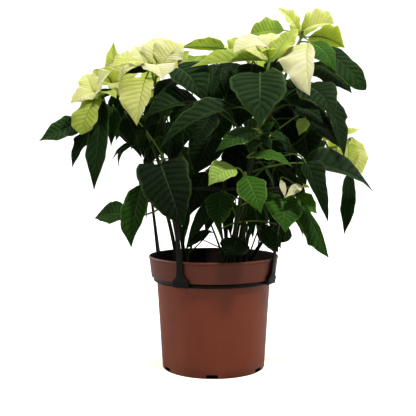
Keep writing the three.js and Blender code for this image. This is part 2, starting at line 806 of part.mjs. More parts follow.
// A cushion carrying three small egg-shaped flower buds.
function makeCyathia(stem) {
  const axis = headDirection(stem);
  const foot = vec(stem.top).addScaledVector(axis, GAP * 2 + HUB.height);
  const above = (point, height) => point.clone().addScaledVector(axis, height);
  const parts = [tubeSolid([circleRing(foot, axis, 2.2, 6), circleRing(above(foot, 1.8), axis, 3, 6)])];
  for (const spot of circleRing(foot, axis, 1.7, 3)) {
    parts.push(tubeSolid([
      circleRing(above(spot, 1.2), axis, 0.7, 4),
      circleRing(above(spot, 3.2), axis, 1.4, 4),
      circleRing(above(spot, 5.4), axis, 0.5, 4),
    ]));
  }
  return wasm.Manifold.union(parts);
}

// ---------------------------------------------------------------------------
// Growing the plant
// ---------------------------------------------------------------------------

function two(number) {
  return String(number).padStart(2, '0');
}

function handPlacedLeaf(stem, [at, base, tip, width, azimuth, height, outline, arch, fold]) {
  const root = stemPoint(stem, at);
  return { root, base: vec(base), tip: vec(tip), width, azimuth, height, outline, arch, fold, free: 1 };
}

function bractBlade(stem, [stalk, end, width, azimuth, height, arch, fold]) {
  const root = hubMiddle(stem);
  const tip = vec(end);
  const out = tip.clone().sub(root).setZ(0).normalize();
  const base = Array.isArray(stalk) ? vec(stalk) : root.clone().addScaledVector(out, stalk);
  return { root, base, tip, width, azimuth, height, outline: 'bract', arch, fold, free: 2 };
}

// The n-th ordinary leaf of a run: longer and more drooping low on the stem.
function foliageLeaf(stem, [, first, last, count, from, to, length], n) {
  const share = n / (count - 1);
  const at = first + (last - first) * share;
  const turn = from + ((GOLDEN_ANGLE * n) % (to - from));
  const root = stemPoint(stem, at);
  const size = length * (1 - 0.22 * share);
  const out = direction(turn, 0);
  const drop = size * (0.72 - 0.2 * share);
  const base = root.clone().addScaledVector(out, size * 0.42).addScaledVector(UP, 4 + 8 * share);
  const tip = base.clone().addScaledVector(out, size * 0.72).addScaledVector(UP, -drop);
  const width = size * 0.58;
  const facing = { azimuth: turn, height: 45 };
  return { root, base, tip, width, ...facing, outline: 'plain', arch: 0.14, fold: 10, free: 1 };
}

const potSolid = makePot();
const soilSolid = makeSoil();
const lowRing = makeRing(SUPPORT.lowRadius, SUPPORT.lowWidth, SUPPORT.lowBottom, SUPPORT.lowTop);
const topRing = makeRing(SUPPORT.topRadius, SUPPORT.topWidth, SUPPORT.topBottom, SUPPORT.topTop);
const uprights = SUPPORT.uprightAngles.map(makeUpright);

stand('pot', potSolid, null);
stand('soil', soilSolid, null);
stand('ring', lowRing, null);
stand('ring', topRing, null);
uprights.forEach((upright) => stand('upright', upright, null));

const stemParts = STEMS.map((stem, i) => {
  const trunk = makeStem(stem);
  stand(`stem_${two(i + 1)}`, trunk, null);
  return [trunk];
});

const bloomParts = BLOOMS.map(({ stem }, i) => {
  const hub = makeHub(STEMS[stem - 1]);
  stand(`bloom_${two(i + 1)}`, hub, null);
  return [hub];
});

const cyathia = BLOOMS.filter((bloom) => bloom.buds).map(({ stem }, i) => {
  const cluster = makeCyathia(STEMS[stem - 1]);
  stand(`cyathia_${two(i + 1)}`, cluster, null);
  return cluster;
});

BLOOMS.forEach(({ stem, bracts }, i) => {
  for (const bract of bracts) {
    grow(`bloom_${two(i + 1)}`, bloomParts[i], bractBlade(STEMS[stem - 1], bract));
  }
});

STEMS.forEach((stem, i) => {
  for (const leaf of stem.leaves) {
    grow(`stem_${two(i + 1)}`, stemParts[i], handPlacedLeaf(stem, leaf));
  }
});

for (const run of FOLIAGE) {
  const number = run[0];
  for (let n = 0; n < run[3]; n += 1) {
    const leaf = foliageLeaf(STEMS[number - 1], run, n);
    grow(`stem_${two(number)}`, stemParts[number - 1], leaf);
  }
}

// ---------------------------------------------------------------------------
// The finished part
// ---------------------------------------------------------------------------

const plant = new THREE.Group();
plant.name = 'poinsettia';
plant.add(meshFrom(potSolid, 'pot', MATERIALS.pot));
plant.add(meshFrom(soilSolid, 'soil', MATERIALS.soil));
plant.add(meshFrom(lowRing, 'support_ring_lower', MATERIALS.support));
plant.add(meshFrom(topRing, 'support_ring_upper', MATERIALS.support));
uprights.forEach((upright, i) => {
  plant.add(meshFrom(upright, `support_upright_${i + 1}`, MATERIALS.support));
});
stemParts.forEach((parts, i) => {
  plant.add(meshFrom(wasm.Manifold.union(parts), `stem_${two(i + 1)}`, MATERIALS.foliage));
});
bloomParts.forEach((parts, i) => {
  plant.add(meshFrom(wasm.Manifold.union(parts), `bloom_${two(i + 1)}`, MATERIALS.bract));
});
cyathia.forEach((cluster, i) => {
  plant.add(meshFrom(cluster, `cyathia_${two(i + 1)}`, MATERIALS.bud));
});

export default plant;
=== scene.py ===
# %% [markdown]
# # A poinsettia in its pot
# The plant arrives as a frame of plain solids: a pot, its soil, a two-ring support,
# thirteen leafy stems, ten flower heads and the bud clusters in their middles. Every
# solid is in the right place and has the right size, but its leaves are flat facets.
# This lesson grows the real look over that frame, one kind of piece at a time. The
# finished sizes are in metres, the front looks along -Y and the pot stands on Z = 0.

# %% The fixed frame
import math

import bpy
import numpy as np
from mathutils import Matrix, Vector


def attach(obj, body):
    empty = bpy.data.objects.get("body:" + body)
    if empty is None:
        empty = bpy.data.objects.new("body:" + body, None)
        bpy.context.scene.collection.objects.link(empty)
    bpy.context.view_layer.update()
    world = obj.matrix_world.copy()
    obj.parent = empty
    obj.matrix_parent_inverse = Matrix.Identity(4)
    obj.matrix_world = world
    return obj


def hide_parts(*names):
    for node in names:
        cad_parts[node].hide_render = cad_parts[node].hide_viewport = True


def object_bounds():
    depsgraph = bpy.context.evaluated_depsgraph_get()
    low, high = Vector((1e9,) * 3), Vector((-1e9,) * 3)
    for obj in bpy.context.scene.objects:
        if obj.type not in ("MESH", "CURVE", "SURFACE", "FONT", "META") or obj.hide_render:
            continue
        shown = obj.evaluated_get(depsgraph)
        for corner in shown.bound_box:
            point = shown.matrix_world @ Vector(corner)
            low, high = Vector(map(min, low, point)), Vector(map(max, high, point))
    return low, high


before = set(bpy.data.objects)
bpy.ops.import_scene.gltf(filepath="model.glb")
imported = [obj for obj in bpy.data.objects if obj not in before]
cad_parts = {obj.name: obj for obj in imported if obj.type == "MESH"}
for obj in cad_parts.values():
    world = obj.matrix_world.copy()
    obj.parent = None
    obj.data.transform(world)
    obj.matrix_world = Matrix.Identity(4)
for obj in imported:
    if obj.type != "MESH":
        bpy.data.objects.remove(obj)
CAD_LOW, CAD_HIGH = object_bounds()
print("frame nodes:", len(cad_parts))
print("frame box:", [round(v, 4) for v in CAD_LOW], [round(v, 4) for v in CAD_HIGH])

# %% [markdown]
# The camera comes first, because every later choice is judged through it. It stands a
# little under a metre in front of the pot, slightly above the middle of the foliage, and
# looks three degrees down, so that the mouth of the pot shows as a thin ellipse.

# %% Camera
view = bpy.data.cameras.new("studio_camera")
view.sensor_width = 36.0
view.lens = 62.65
camera = bpy.data.objects.new("studio_camera", view)
camera.location = (-0.0072, -0.950, 0.260)
camera.rotation_euler = (math.radians(90 - 3.1), 0, 0)
bpy.context.collection.objects.link(camera)
bpy.context.scene.camera = camera
print("camera at", tuple(round(v, 3) for v in camera.location))

# %% [markdown]
# A few habits save trouble in Blender. Operators act on whatever is selected, so each
# step clears the selection first. Points are moved with numpy in one go, because moving
# them one by one in Python is slow. A sine of fixed numbers stands in for chance, so the
# plant grows the same way every time.

# %% Working habits
MM = 0.001


def clear_selection():
    if bpy.context.object and bpy.context.object.mode != "OBJECT":
        bpy.ops.object.mode_set(mode="OBJECT")
    bpy.ops.object.select_all(action="DESELECT")


def pick(thing):
    clear_selection()
    thing.select_set(True)
    bpy.context.view_layer.objects.active = thing


def read_points(thing):
    points = np.empty(len(thing.data.vertices) * 3)
    thing.data.vertices.foreach_get("co", points)
    return points.reshape(-1, 3)


def write_points(thing, points):
    thing.data.vertices.foreach_set("co", np.ascontiguousarray(points).ravel())
    thing.data.update()


def own_copy(thing, name):
    made = thing.copy()
    made.data = thing.data.copy()
    made.name = name
    made.data.name = name
    bpy.context.collection.objects.link(made)
    return made


def write_attribute(thing, name, kind, values):
    layer = thing.data.attributes.get(name) or thing.data.attributes.new(name, kind, "POINT")
    key = "vector" if kind == "FLOAT_VECTOR" else "value"
    layer.data.foreach_set(key, np.ascontiguousarray(values, dtype=np.float32).ravel())


def join_as(parts, name, smooth_angle=50):
    pick(parts[0])
    for part in parts[1:]:
        part.select_set(True)
    bpy.ops.object.join()
    whole = bpy.context.object
    whole.name = name
    whole.data.name = name
    bpy.ops.object.mode_set(mode="EDIT")
    bpy.ops.mesh.select_all(action="SELECT")
    bpy.ops.mesh.remove_doubles(threshold=0.02 * MM)
    bpy.ops.mesh.dissolve_degenerate(threshold=0.005 * MM)
    bpy.ops.object.mode_set(mode="OBJECT")
    bpy.ops.object.shade_smooth_by_angle(angle=math.radians(smooth_angle))
    return whole


def chance(*seeds):
    """A number from 0 to 1 that depends only on the seeds."""
    total = sum((i + 1) * 12.9898 * seed for i, seed in enumerate(seeds))
    return (math.sin(total) * 43758.5453) % 1.0


def unit(vector):
    return vector / np.linalg.norm(vector)


# %% [markdown]
# Two starting shapes serve the whole plant. The first is a sheet: a flat grid with a
# thickness, whose width runs from -1 to 1 and whose length runs from 0 to 1. Every leaf
# and bract is such a sheet, drawn in to its outline and bent. The second is a bar: a
# circle extruded again and again, so that it has rings to be bent along a path. Every
# stem, stalk and midrib is such a bar. Curves with a round profile could do the same, but
# a bar's rings can each have their own thickness and their own tone of colour.

# %% Starting sheets and bars
def thick_sheet(name, across, along):
    clear_selection()
    bpy.ops.mesh.primitive_grid_add(x_subdivisions=across, y_subdivisions=along, size=2)
    sheet = bpy.context.object
    sheet.name = name
    bpy.ops.object.mode_set(mode="EDIT")
    bpy.ops.mesh.select_all(action="SELECT")
    bpy.ops.transform.resize(value=(1, 0.5, 1), center_override=(0, 0, 0))
    bpy.ops.transform.translate(value=(0, 0.5, 0))
    bpy.ops.object.mode_set(mode="OBJECT")
    body = sheet.modifiers.new("thickness", "SOLIDIFY")
    body.thickness = 0.01  # only keeps the two faces apart until the blade is shaped
    body.offset = 0
    bpy.ops.object.modifier_apply(modifier=body.name)
    return sheet


def face_outwards(thing):
    pick(thing)
    bpy.ops.object.mode_set(mode="EDIT")
    bpy.ops.mesh.select_all(action="SELECT")
    bpy.ops.mesh.normals_make_consistent(inside=False)
    bpy.ops.object.mode_set(mode="OBJECT")


def ringed_bar(name, sides, rings):
    clear_selection()
    bpy.ops.mesh.primitive_circle_add(vertices=sides, radius=1, fill_type="NGON")
    bar = bpy.context.object
    bar.name = name
    bpy.ops.object.mode_set(mode="EDIT")
    bpy.ops.mesh.select_all(action="SELECT")
    for _ in range(rings - 1):
        bpy.ops.mesh.extrude_region_move(TRANSFORM_OT_translate={"value": (0, 0, 1)})
    face_outwards(bar)
    return bar


STEM_RINGS, STALK_RINGS, RIB_RINGS = 34, 12, 16
FINE_SHEET = thick_sheet("fine_sheet", 20, 60)
PLAIN_SHEET = thick_sheet("plain_sheet", 16, 42)
STEM_BAR = ringed_bar("stem_bar", 10, STEM_RINGS)
STALK_BAR = ringed_bar("stalk_bar", 7, STALK_RINGS)
RIB_BAR = ringed_bar("rib_bar", 5, RIB_RINGS)
for start in (FINE_SHEET, PLAIN_SHEET, STEM_BAR, STALK_BAR, RIB_BAR):
    print(start.name, len(start.data.vertices), "points")

# %% [markdown]
# The plant's own list says where everything grows. Leaves could be scattered by chance,
# but then none would lie over its plain solid. So this is the list that the frame was
# built from, in millimetres: for each stem its foot, bow and top, and for each leaf
# where it leaves the stem, where its blade begins and ends, how wide it is, which way its
# face looks, its outline, how much it arches and folds, and last its tone, from 0 for an
# old dark leaf to 1 for the youngest and palest.

# %% Stems and their leaves
SOIL_SURFACE = 122
STEMS = [
    dict(foot=(31, 12), bow=(58, 22, 300), top=(114, 10, 430), leaves=[
        (0.96, (146, 10, 409), (193, -26, 358), 52, 20, 40, "oval", 0.1, 8, 0.24),
        (0.985, (121, -14, 427), (158, -44, 380), 42, 10, 45, "oval", 0.14, 8, 0.66),
        (0.92, (134, 24, 401), (180, -2, 358), 48, 5, 40, "oval", 0.08, 8, 0.16),
        (0.8, (148, -20, 357), (161, -50, 271), 34, 25, 5, "tooth", 0.06, 12, 0.14),
        (0.62, (127, 4, 322), (166, -12, 284), 34, 20, 45, "oval", 0.12, 10, 0.12),
        (0.66, (117, 34, 346), (80, 18, 276), 58, 0, 30, "oval", 0.1, 10, 0.08),
    ]),
    dict(foot=(22, 2), bow=(46, -24, 270), top=(68, -50, 390), leaves=[
        (0.9, (57, -84, 373), (50, -138, 307), 74, 0, 35, "heart", 0.1, 10, 0.2),
        (0.62, (-7, -48, 344), (-86, -96, 317), 50, -20, 60, "lance", 0.16, 14, 0.16),
        (0.55, (0, -40, 331), (-24, -58, 287), 34, -10, 30, "oval", 0.08, 12, 0.1),
        (0.33, (-3, -28, 224), (-35, -32, 160), 28, -20, 20, "lance", 0.1, 14, 0.14),
    ]),
    dict(foot=(-36, -5), bow=(-54, -20, 280), top=(-77, -38, 382), leaves=[
        (0.95, (-51, -56, 376), (-7, -90, 341), 46, 10, 50, "oval", 0.2, 8, 0.2),
        (0.9, (-43, -34, 371), (-68, -70, 336), 32, -10, 45, "oval", 0.12, 10, 0.14),
        (0.7, (-60, 6, 322), (-52, 28, 268), 36, 0, 20, "oval", 0.1, 10, 0.08),
        (0.8, (-29, 24, 354), (-42, 20, 286), 46, -5, 25, "oval", 0.1, 10, 0.08),
    ]),
    dict(foot=(-43, 3), bow=(-58, -6, 290), top=(-128, 20, 368), leaves=[
        (0.86, (-119, 26, 342), (-96, 18, 274), 42, 0, 25, "lance", 0.1, 10, 0.12),
    ]),
    dict(foot=(-46, -6), bow=(-66, -22, 285), top=(-142, -50, 346), leaves=[
        (0.95, (-138, -66, 341), (-144, -84, 234), 41, -5, 8, "long", 0.05, 10, 0.16),
        (0.9, (-161, -50, 319), (-215, -60, 295), 42, -25, 38, "lance", 0.04, 12, 0.2),
        (0.84, (-149, -60, 307), (-172, -70, 261), 25, -30, 20, "tooth", 0.1, 12, 0.14),
        (0.88, (-128, -54, 337), (-116, -66, 286), 22, 10, 15, "lance", 0.06, 10, 0.26),
        (0.64, (-99, -50, 297), (-126, -58, 276), 12, -30, 50, "lance", 0.24, 16, 0.2),
        (0.6, (-93, -44, 290), (-116, -50, 264), 16, -30, 50, "lance", 0.26, 16, 0.2),
    ]),
    dict(foot=(40, 20), bow=(50, 24, 268), top=(184, 58, 294), leaves=[
        (0.86, (179, 22, 257), (176, 16, 173), 27, 15, 5, "lance", 0.05, 12, 0.14),
        (0.33, (69, 30, 173), (108, 24, 163), 34, 10, 35, "oval", 0.1, 10, 0.14),
        (0.24, (63, 12, 182), (82, -4, 154), 27, 10, 25, "oval", 0.12, 10, 0.16),
    ]),
    dict(foot=(18, 14), bow=(14, 40, 290), top=(17, 62, 416), leaves=[
        (0.9, (1, 36, 401), (-3, 14, 356), 36, -5, 25, "oval", 0.1, 10, 0.16),
        (0.86, (30, 30, 397), (14, 8, 357), 32, 10, 30, "oval", 0.1, 10, 0.14),
        (0.62, (11, -8, 341), (8, -28, 294), 32, 5, 25, "oval", 0.1, 10, 0.16),
        (0.7, (16, 36, 352), (-11, 24, 284), 56, -5, 30, "oval", 0.1, 10, 0.08),
        (0.8, (43, 24, 368), (31, 4, 310), 50, 0, 30, "oval", 0.1, 10, 0.1),
        (0.56, (4, 20, 311), (-24, 10, 255), 54, -5, 30, "oval", 0.1, 10, 0.08),
        (0.5, (30, 44, 297), (40, 34, 231), 48, 5, 30, "oval", 0.1, 10, 0.08),
        (0.38, (-11, 44, 256), (-32, 34, 196), 46, -10, 30, "oval", 0.1, 10, 0.1),
        (0.3, (-7, 24, 213), (-33, 20, 157), 20, -35, 10, "lance", 0.05, 12, 0.2),
    ]),
    dict(foot=(-34, 8), bow=(-60, 70, 240), top=(-98, 105, 372), leaves=[
        (0.62, (-73, 50, 328), (-87, 42, 264), 50, -5, 30, "oval", 0.1, 10, 0.08),
    ]),
    dict(foot=(27, 26), bow=(40, 90, 250), top=(66, 122, 398), leaves=[
        (0.82, (100, 66, 366), (68, 48, 298), 60, 0, 35, "oval", 0.1, 10, 0.08),
        (0.66, (121, 58, 330), (137, 46, 265), 54, 10, 30, "oval", 0.1, 10, 0.1),
        (0.52, (78, 50, 284), (50, 40, 224), 52, 0, 30, "oval", 0.1, 10, 0.08),
    ]),
    dict(foot=(16, -8), bow=(26, -60, 180), top=(37, -92, 256), leaves=[
        (0.985, (36, -107, 252), (53, -130, 209), 36, 10, 30, "oval", 0.08, 8, 0.72),
        (0.96, (25, -104, 261), (-7, -118, 240), 32, -15, 45, "oval", 0.14, 14, 0.92),
        (0.72, (75, -62, 232), (85, -86, 184), 50, 15, 35, "heart", 0.1, 8, 0.5),
        (0.6, (9, -70, 232), (5, -84, 188), 36, -10, 15, "oval", 0.1, 12, 0.3),
        (0.35, (30, -52, 174), (20, -62, 147), 38, 0, 40, "oval", 0.1, 8, 0.12),
    ]),
    dict(foot=(38, 0), bow=(72, 0, 175), top=(107, -20, 234), leaves=[
        (0.93, (99, -44, 211), (142, -60, 150), 36, 15, 25, "tooth", 0.03, 10, 0.3),
        (0.97, (108, -34, 229), (132, -44, 205), 27, 10, 20, "oval", 0.08, 12, 0.62),
        (0.4, (60, -48, 184), (80, -56, 156), 25, 10, 30, "oval", 0.1, 10, 0.2),
    ]),
    dict(foot=(28, -5), bow=(40, -50, 220), top=(57, -72, 328), leaves=[
        (0.95, (28, -84, 350), (-63, -110, 286), 50, -15, 55, "tooth", 0.16, 16, 0.18),
        (0.97, (107, -68, 354), (139, -118, 309), 56, 10, 55, "oval", 0.16, 12, 0.16),
        (0.88, (106, -12, 341), (152, -34, 302), 42, 15, 45, "oval", 0.12, 10, 0.12),
        (0.66, (107, -72, 267), (214, 18, 229), 58, 35, 45, "lance", 0.12, 22, 0.18),
        (0.6, (112, -82, 267), (135, -92, 197), 31, 15, 10, "tooth", 0.04, 12, 0.14),
        (0.78, (46, -98, 274), (91, -106, 262), 31, 5, 60, "oval", 0.16, 10, 0.42),
        (0.86, (51, -98, 304), (1, -114, 279), 31, -10, 50, "oval", 0.12, 12, 0.36),
    ]),
    dict(foot=(-40, -14), bow=(-46, -55, 180), top=(-62, -72, 266), leaves=[
        (0.97, (-61, -94, 267), (-35, -130, 194), 62, -8, 25, "heart", 0.08, 10, 0.12),
        (0.86, (-86, -76, 238), (-99, -88, 165), 36, -15, 12, "lance", 0.06, 12, 0.16),
        (0.72, (-108, -50, 202), (-151, -36, 197), 36, -25, 45, "oval", 0.12, 12, 0.3),
    ]),
]
print("stems:", len(STEMS), "leaves listed:", sum(len(s["leaves"]) for s in STEMS))

# %% [markdown]
# A poinsettia's show is made by its bracts, which are leaves that colour up round the
# tiny true flowers. Each bract is listed with the length of its stalk (or the start of
# its blade), its tip, width, facing, arch, fold and tone, here from 0 for a bract that
# is still lime green to 1 for one that has turned cream-white. A rule could set them in
# even rings like the petals of a daisy, but no two bracts of a poinsettia are alike, so
# each has a line of its own.

# %% Flower heads and their bracts
BLOOMS = [
    dict(stem=1, bracts=[
        (7, (82, -6, 467), 23, 0, 40, 0.11, 22, 0.62),
        (7, (156, -8, 449), 53, 0, 62, 0.18, 28, 0.68),
        (12, (176, 34, 416), 51, 160, 50, 0.14, 10, 0.46),
        ((93, 20, 443), (49, 30, 440), 46, -10, 32, 0.06, 10, 0.12),
        ((112, -26, 417), (118, -70, 347), 58, -25, 25, 0.12, 10, 0.96),
        (10, (139, 80, 458), 44, 170, 60, 0.12, 12, 0.4),
    ]),
    dict(stem=2, bracts=[
        (7, (108, -22, 437), 34, -30, 50, 0.08, 16, 0.4),
        (10, (21, -100, 392), 44, -20, 60, 0.16, 12, 0.56),
        (10, (-36, -82, 378), 46, -10, 50, 0.05, 14, 0.3),
        (8, (32, -4, 428), 42, 0, 50, 0.1, 10, 0.84),
        (8, (84, 14, 432), 42, 0, 60, 0.1, 10, 0.8),
        (10, (58, -112, 394), 38, 0, 70, 0.16, 12, 0.4),
    ]),
    dict(stem=3, bracts=[
        (8, (-73, 16, 432), 52, 0, 50, 0.08, 10, 0.86),
        (8, (-38, -22, 416), 46, 0, 45, 0.08, 12, 0.9),
        (10, (-66, -102, 364), 52, 5, 50, 0.14, 10, 0.94),
        (10, (-122, -76, 376), 46, -30, 60, 0.14, 12, 0.56),
        (12, (-47, -76, 370), 36, 20, 45, 0.12, 12, 0.6),
        (8, (-108, -2, 408), 40, -20, 50, 0.1, 10, 0.84),
        ((-87, -56, 370), (-92, -92, 308), 56, -8, 20, 0.1, 10, 0.58),
        (12, (-12, -8, 402), 26, 0, 60, 0.08, 12, 0.2),
    ]),
    dict(stem=4, bracts=[
        (9, (-134, 32, 431), 26, 0, 20, 0.02, 18, 0.5),
        (8, (-153, -20, 386), 36, -30, 60, 0.16, 12, 0.78),
        (8, (-99, 42, 418), 46, 0, 42, 0.1, 10, 0.84),
        (8, (-173, 50, 386), 36, -60, 60, 0.14, 12, 0.6),
        (8, (-116, -30, 352), 32, 0, 50, 0.14, 10, 0.66),
    ]),
    dict(stem=5, bracts=[
        (11, (-168, -80, 337), 40, -40, 50, 0.12, 12, 0.82),
        (14, (-152, -86, 301), 44, -15, 20, 0.1, 10, 0.36),
        (8, (-164, -10, 382), 36, -20, 50, 0.12, 12, 0.72),
        (8, (-121, -92, 378), 38, 10, 60, 0.14, 10, 0.84),
        (14, (-114, -98, 342), 32, 15, 50, 0.14, 12, 0.62),
    ]),
    dict(stem=6, bracts=[
        (8, (196, 44, 245), 44, 15, 15, 0.1, 14, 0.74),
        (10, (181, 28, 262), 32, 5, 30, 0.12, 12, 0.42),
        (7, (211, 92, 312), 24, 120, 60, 0.12, 12, 0.6),
        (8, (170, 104, 270), 36, 170, 40, 0.14, 12, 0.7),
        (8, (130, 74, 314), 32, -20, 55, 0.12, 12, 0.5),
    ]),
    dict(stem=7, bracts=[
        (9, (-40, 34, 423), 36, 180, 55, 0.12, 12, 0.26),
        (8, (45, 66, 439), 32, 0, 40, 0.12, 12, 0.5),
        (8, (-2, 120, 438), 42, 180, 60, 0.14, 12, 0.8),
        (9, (46, 110, 428), 40, 150, 60, 0.14, 12, 0.74),
        (9, (-26, 102, 418), 36, -150, 60, 0.14, 12, 0.66),
    ]),
    dict(stem=8, bracts=[
        (9, (-158, 128, 370), 44, -110, 50, 0.14, 12, 0.8),
        (9, (-112, 172, 360), 50, 180, 45, 0.14, 12, 0.88),
        (9, (-52, 148, 362), 42, 150, 50, 0.14, 12, 0.74),
        (8, (-62, 66, 392), 36, 20, 60, 0.14, 12, 0.7),
        (8, (-138, 70, 392), 40, -40, 60, 0.14, 12, 0.8),
        (7, (-84, 130, 428), 30, 180, 20, 0.08, 14, 0.5),
    ]),
    dict(stem=9, bracts=[
        (9, (20, 170, 384), 48, -170, 45, 0.14, 12, 0.84),
        (9, (78, 190, 380), 52, 175, 40, 0.14, 12, 0.78),
        (9, (126, 148, 396), 46, 120, 50, 0.14, 12, 0.86),
        (8, (116, 92, 418), 40, 40, 60, 0.14, 12, 0.7),
        (8, (28, 90, 420), 40, -20, 60, 0.14, 12, 0.74),
        (7, (64, 146, 452), 30, 180, 20, 0.08, 14, 0.46),
    ]),
    dict(stem=11, buds=False, bracts=[
        (6, (85, -40, 228), 15, -5, 35, 0.12, 20, 0.94),
        (5, (122, -30, 236), 9, 10, 50, 0.1, 14, 0.8),
    ]),
]
print("flower heads:", len(BLOOMS), "bracts:", sum(len(b["bracts"]) for b in BLOOMS))

# %% [markdown]
# The back of each stem carries ordinary foliage that follows a rule: leaves climb the
# stem by even steps and each one turns 137.5 degrees past the last, the golden angle
# that keeps real leaves out of each other's shade. A rule needs one line for each stem:
# the stem, the first and last place on it, how many leaves, the range of directions they
# turn through and the length of the lowest. When two blades would touch, the frame turns
# or lifts the later one a little. The same small turns, in degrees, are listed here, so
# that each finished blade can find the place that its solid took.

# %% Foliage runs and small turns
FOLIAGE = [
    (1, 0.45, 0.88, 3, 120, 220, 82),
    (2, 0.5, 0.88, 2, 130, 230, 74),
    (3, 0.5, 0.88, 2, 130, 230, 78),
    (4, 0.5, 0.92, 3, 160, 260, 76),
    (5, 0.6, 0.85, 2, 170, 270, 68),
    (6, 0.55, 0.9, 3, 120, 220, 66),
    (7, 0.5, 0.9, 2, 130, 230, 86),
    (8, 0.4, 0.93, 7, 140, 240, 88),
    (9, 0.4, 0.93, 7, 110, 210, 90),
]
GOLDEN_ANGLE = 137.5
NUDGES = [
    (0, 0), (0, 4), (0, -4), (5, 0), (-5, 0), (5, 4), (-5, 4), (5, -4), (-5, -4),
    (0, 8), (0, -8), (9, 0), (-9, 0), (9, 6), (-9, 6), (9, -6), (-9, -6),
    (0, 12), (0, -12), (14, 0), (-14, 0), (14, 8), (-14, 8), (14, -8), (-14, -8),
    (0, 18), (0, -18), (20, 0), (-20, 0), (20, 10), (-20, 10), (20, -10), (-20, -10),
]
print("foliage leaves by rule:", sum(run[3] for run in FOLIAGE))

# %% [markdown]
# A stem is a quadratic curve: it leaves its foot towards the bow and arrives at its top
# from the bow. A curve object could have the same shape, but a sum can be asked for any
# point. Leaves and flower heads read their roots from it, so nothing can drift away from
# the stem that carries it.

# %% Stem curves
UP = np.array((0.0, 0.0, 1.0))
FOOT_RISE = 3
HUB_RISE = 0.3
HUB_HEIGHT = 6


def stem_corners(stem):
    foot = np.array((*stem["foot"], SOIL_SURFACE + FOOT_RISE), float)
    return foot, np.array(stem["bow"], float), np.array(stem["top"], float)


def stem_point(stem, t):
    foot, bow, top = stem_corners(stem)
    return foot * (1 - t) ** 2 + bow * 2 * t * (1 - t) + top * t * t


def stem_direction(stem, t):
    foot, bow, top = stem_corners(stem)
    return unit((bow - foot) * (1 - t) + (top - bow) * t)


def head_direction(stem):
    return unit(stem_direction(stem, 1) + UP)


def hub_middle(stem):
    return np.array(stem["top"], float) + head_direction(stem) * (HUB_RISE + HUB_HEIGHT * 0.55)


def direction(azimuth, height):
    a, h = math.radians(azimuth), math.radians(height)
    return np.array((math.sin(a) * math.cos(h), -math.cos(a) * math.cos(h), math.sin(h)))


print("tallest stem top:", max(stem["top"][2] for stem in STEMS), "mm")

# %% [markdown]
# Now each entry of the lists becomes a blade: its root on the stem, the base and tip of
# its midrib and the rest of its numbers, all still in millimetres. Leaves that grow by
# rule are worked out here: the foliage at the back, and plain side leaves that fill the
# plant out to the left and right. For both, shares of the leaf's length say how long the
# stalk is, how far the blade reaches outwards and how far it hangs down.

# %% Blades from the lists
FOLIAGE_STALK, FOLIAGE_REACH, FOLIAGE_DROP = 0.42, 0.72, 0.72
SIDE_STALK, SIDE_REACH, SIDE_DROP = 0.22, 0.3, 0.88


def listed_leaf(stem, entry):
    at, base, tip, width, azimuth, height, outline, arch, fold, tone = entry
    return dict(root=stem_point(stem, at), base=np.array(base, float), tip=np.array(tip, float),
                width=width, azimuth=azimuth, height=height, outline=outline, arch=arch,
                fold=fold, tone=tone, fine=True, kind="leaf", at=at)


def listed_bract(stem, entry):
    stalk, tip, width, azimuth, height, arch, fold, tone = entry
    root, tip = hub_middle(stem), np.array(tip, float)
    away = tip - root
    away[2] = 0
    base = np.array(stalk, float) if isinstance(stalk, tuple) else root + unit(away) * stalk
    return dict(root=root, base=base, tip=tip, width=width, azimuth=azimuth, height=height,
                outline="bract", arch=arch, fold=fold, tone=tone, fine=True, kind="bract", at=1)


def foliage_leaf(stem, run, n):
    number, first, last, count, turn_from, turn_to, length = run
    share = n / (count - 1)
    at = first + (last - first) * share
    turn = turn_from + (GOLDEN_ANGLE * n) % (turn_to - turn_from)
    root, out = stem_point(stem, at), direction(turn, 0)
    size = length * (1 - 0.22 * share)
    base = root + out * size * FOLIAGE_STALK + UP * (4 + 8 * share)
    tip = base + out * size * FOLIAGE_REACH - UP * size * (FOLIAGE_DROP - 0.2 * share)
    return dict(root=root, base=base, tip=tip, width=size * 0.58, azimuth=turn, height=45,
                outline="plain", arch=0.14, fold=10, tone=0.1 + 0.2 * chance(number, n),
                fine=False, kind="leaf", at=at)


def side_leaf(stem, number, at, turn, length):
    root, out = stem_point(stem, at), direction(turn, 0)
    base = root + out * length * SIDE_STALK + UP * 3
    tip = base + out * length * SIDE_REACH - UP * length * SIDE_DROP
    return dict(root=root, base=base, tip=tip, width=length * 0.62, azimuth=turn, height=15,
                outline="oval", arch=0.12, fold=10, tone=0.06 + 0.14 * chance(number, at),
                fine=False, kind="leaf", at=at)


def rotated(vector, axis, degrees):
    a = math.radians(degrees)
    along = axis * (vector @ axis) * (1 - math.cos(a))
    return vector * math.cos(a) + np.cross(axis, vector) * math.sin(a) + along


def turned(blade, turn, lift):
    away = blade["tip"] - blade["root"]
    away[2] = 0
    axis = np.cross(unit(away), UP)

    def move(point):
        return blade["root"] + rotated(rotated(point - blade["root"], axis, lift), UP, turn)

    return dict(blade, base=move(blade["base"]), tip=move(blade["tip"]),
                azimuth=blade["azimuth"] + turn)


# %% [markdown]
# A blade carries its own small frame of directions: along the midrib, out to the side
# and up from its upper face. The midrib is an arch over the straight line from base to
# tip. To find which small turn a solid took, the two corner points of its tip are
# compared with the points of the solid; where none fits, the frame left that leaf out.

# %% Finding each blade's place
def blade_frame(blade):
    span = blade["tip"] - blade["base"]
    length = np.linalg.norm(span)
    chord = span / length
    face = direction(blade["azimuth"], blade["height"])
    normal = unit(face - chord * (face @ chord))
    return length, chord, normal, np.cross(chord, normal)


def rib_points(blade, s):
    length, chord, normal, _ = blade_frame(blade)
    s = np.asarray(s, float)[:, None]
    return blade["base"] + chord * length * s + normal * length * blade["arch"] * 4 * s * (1 - s)


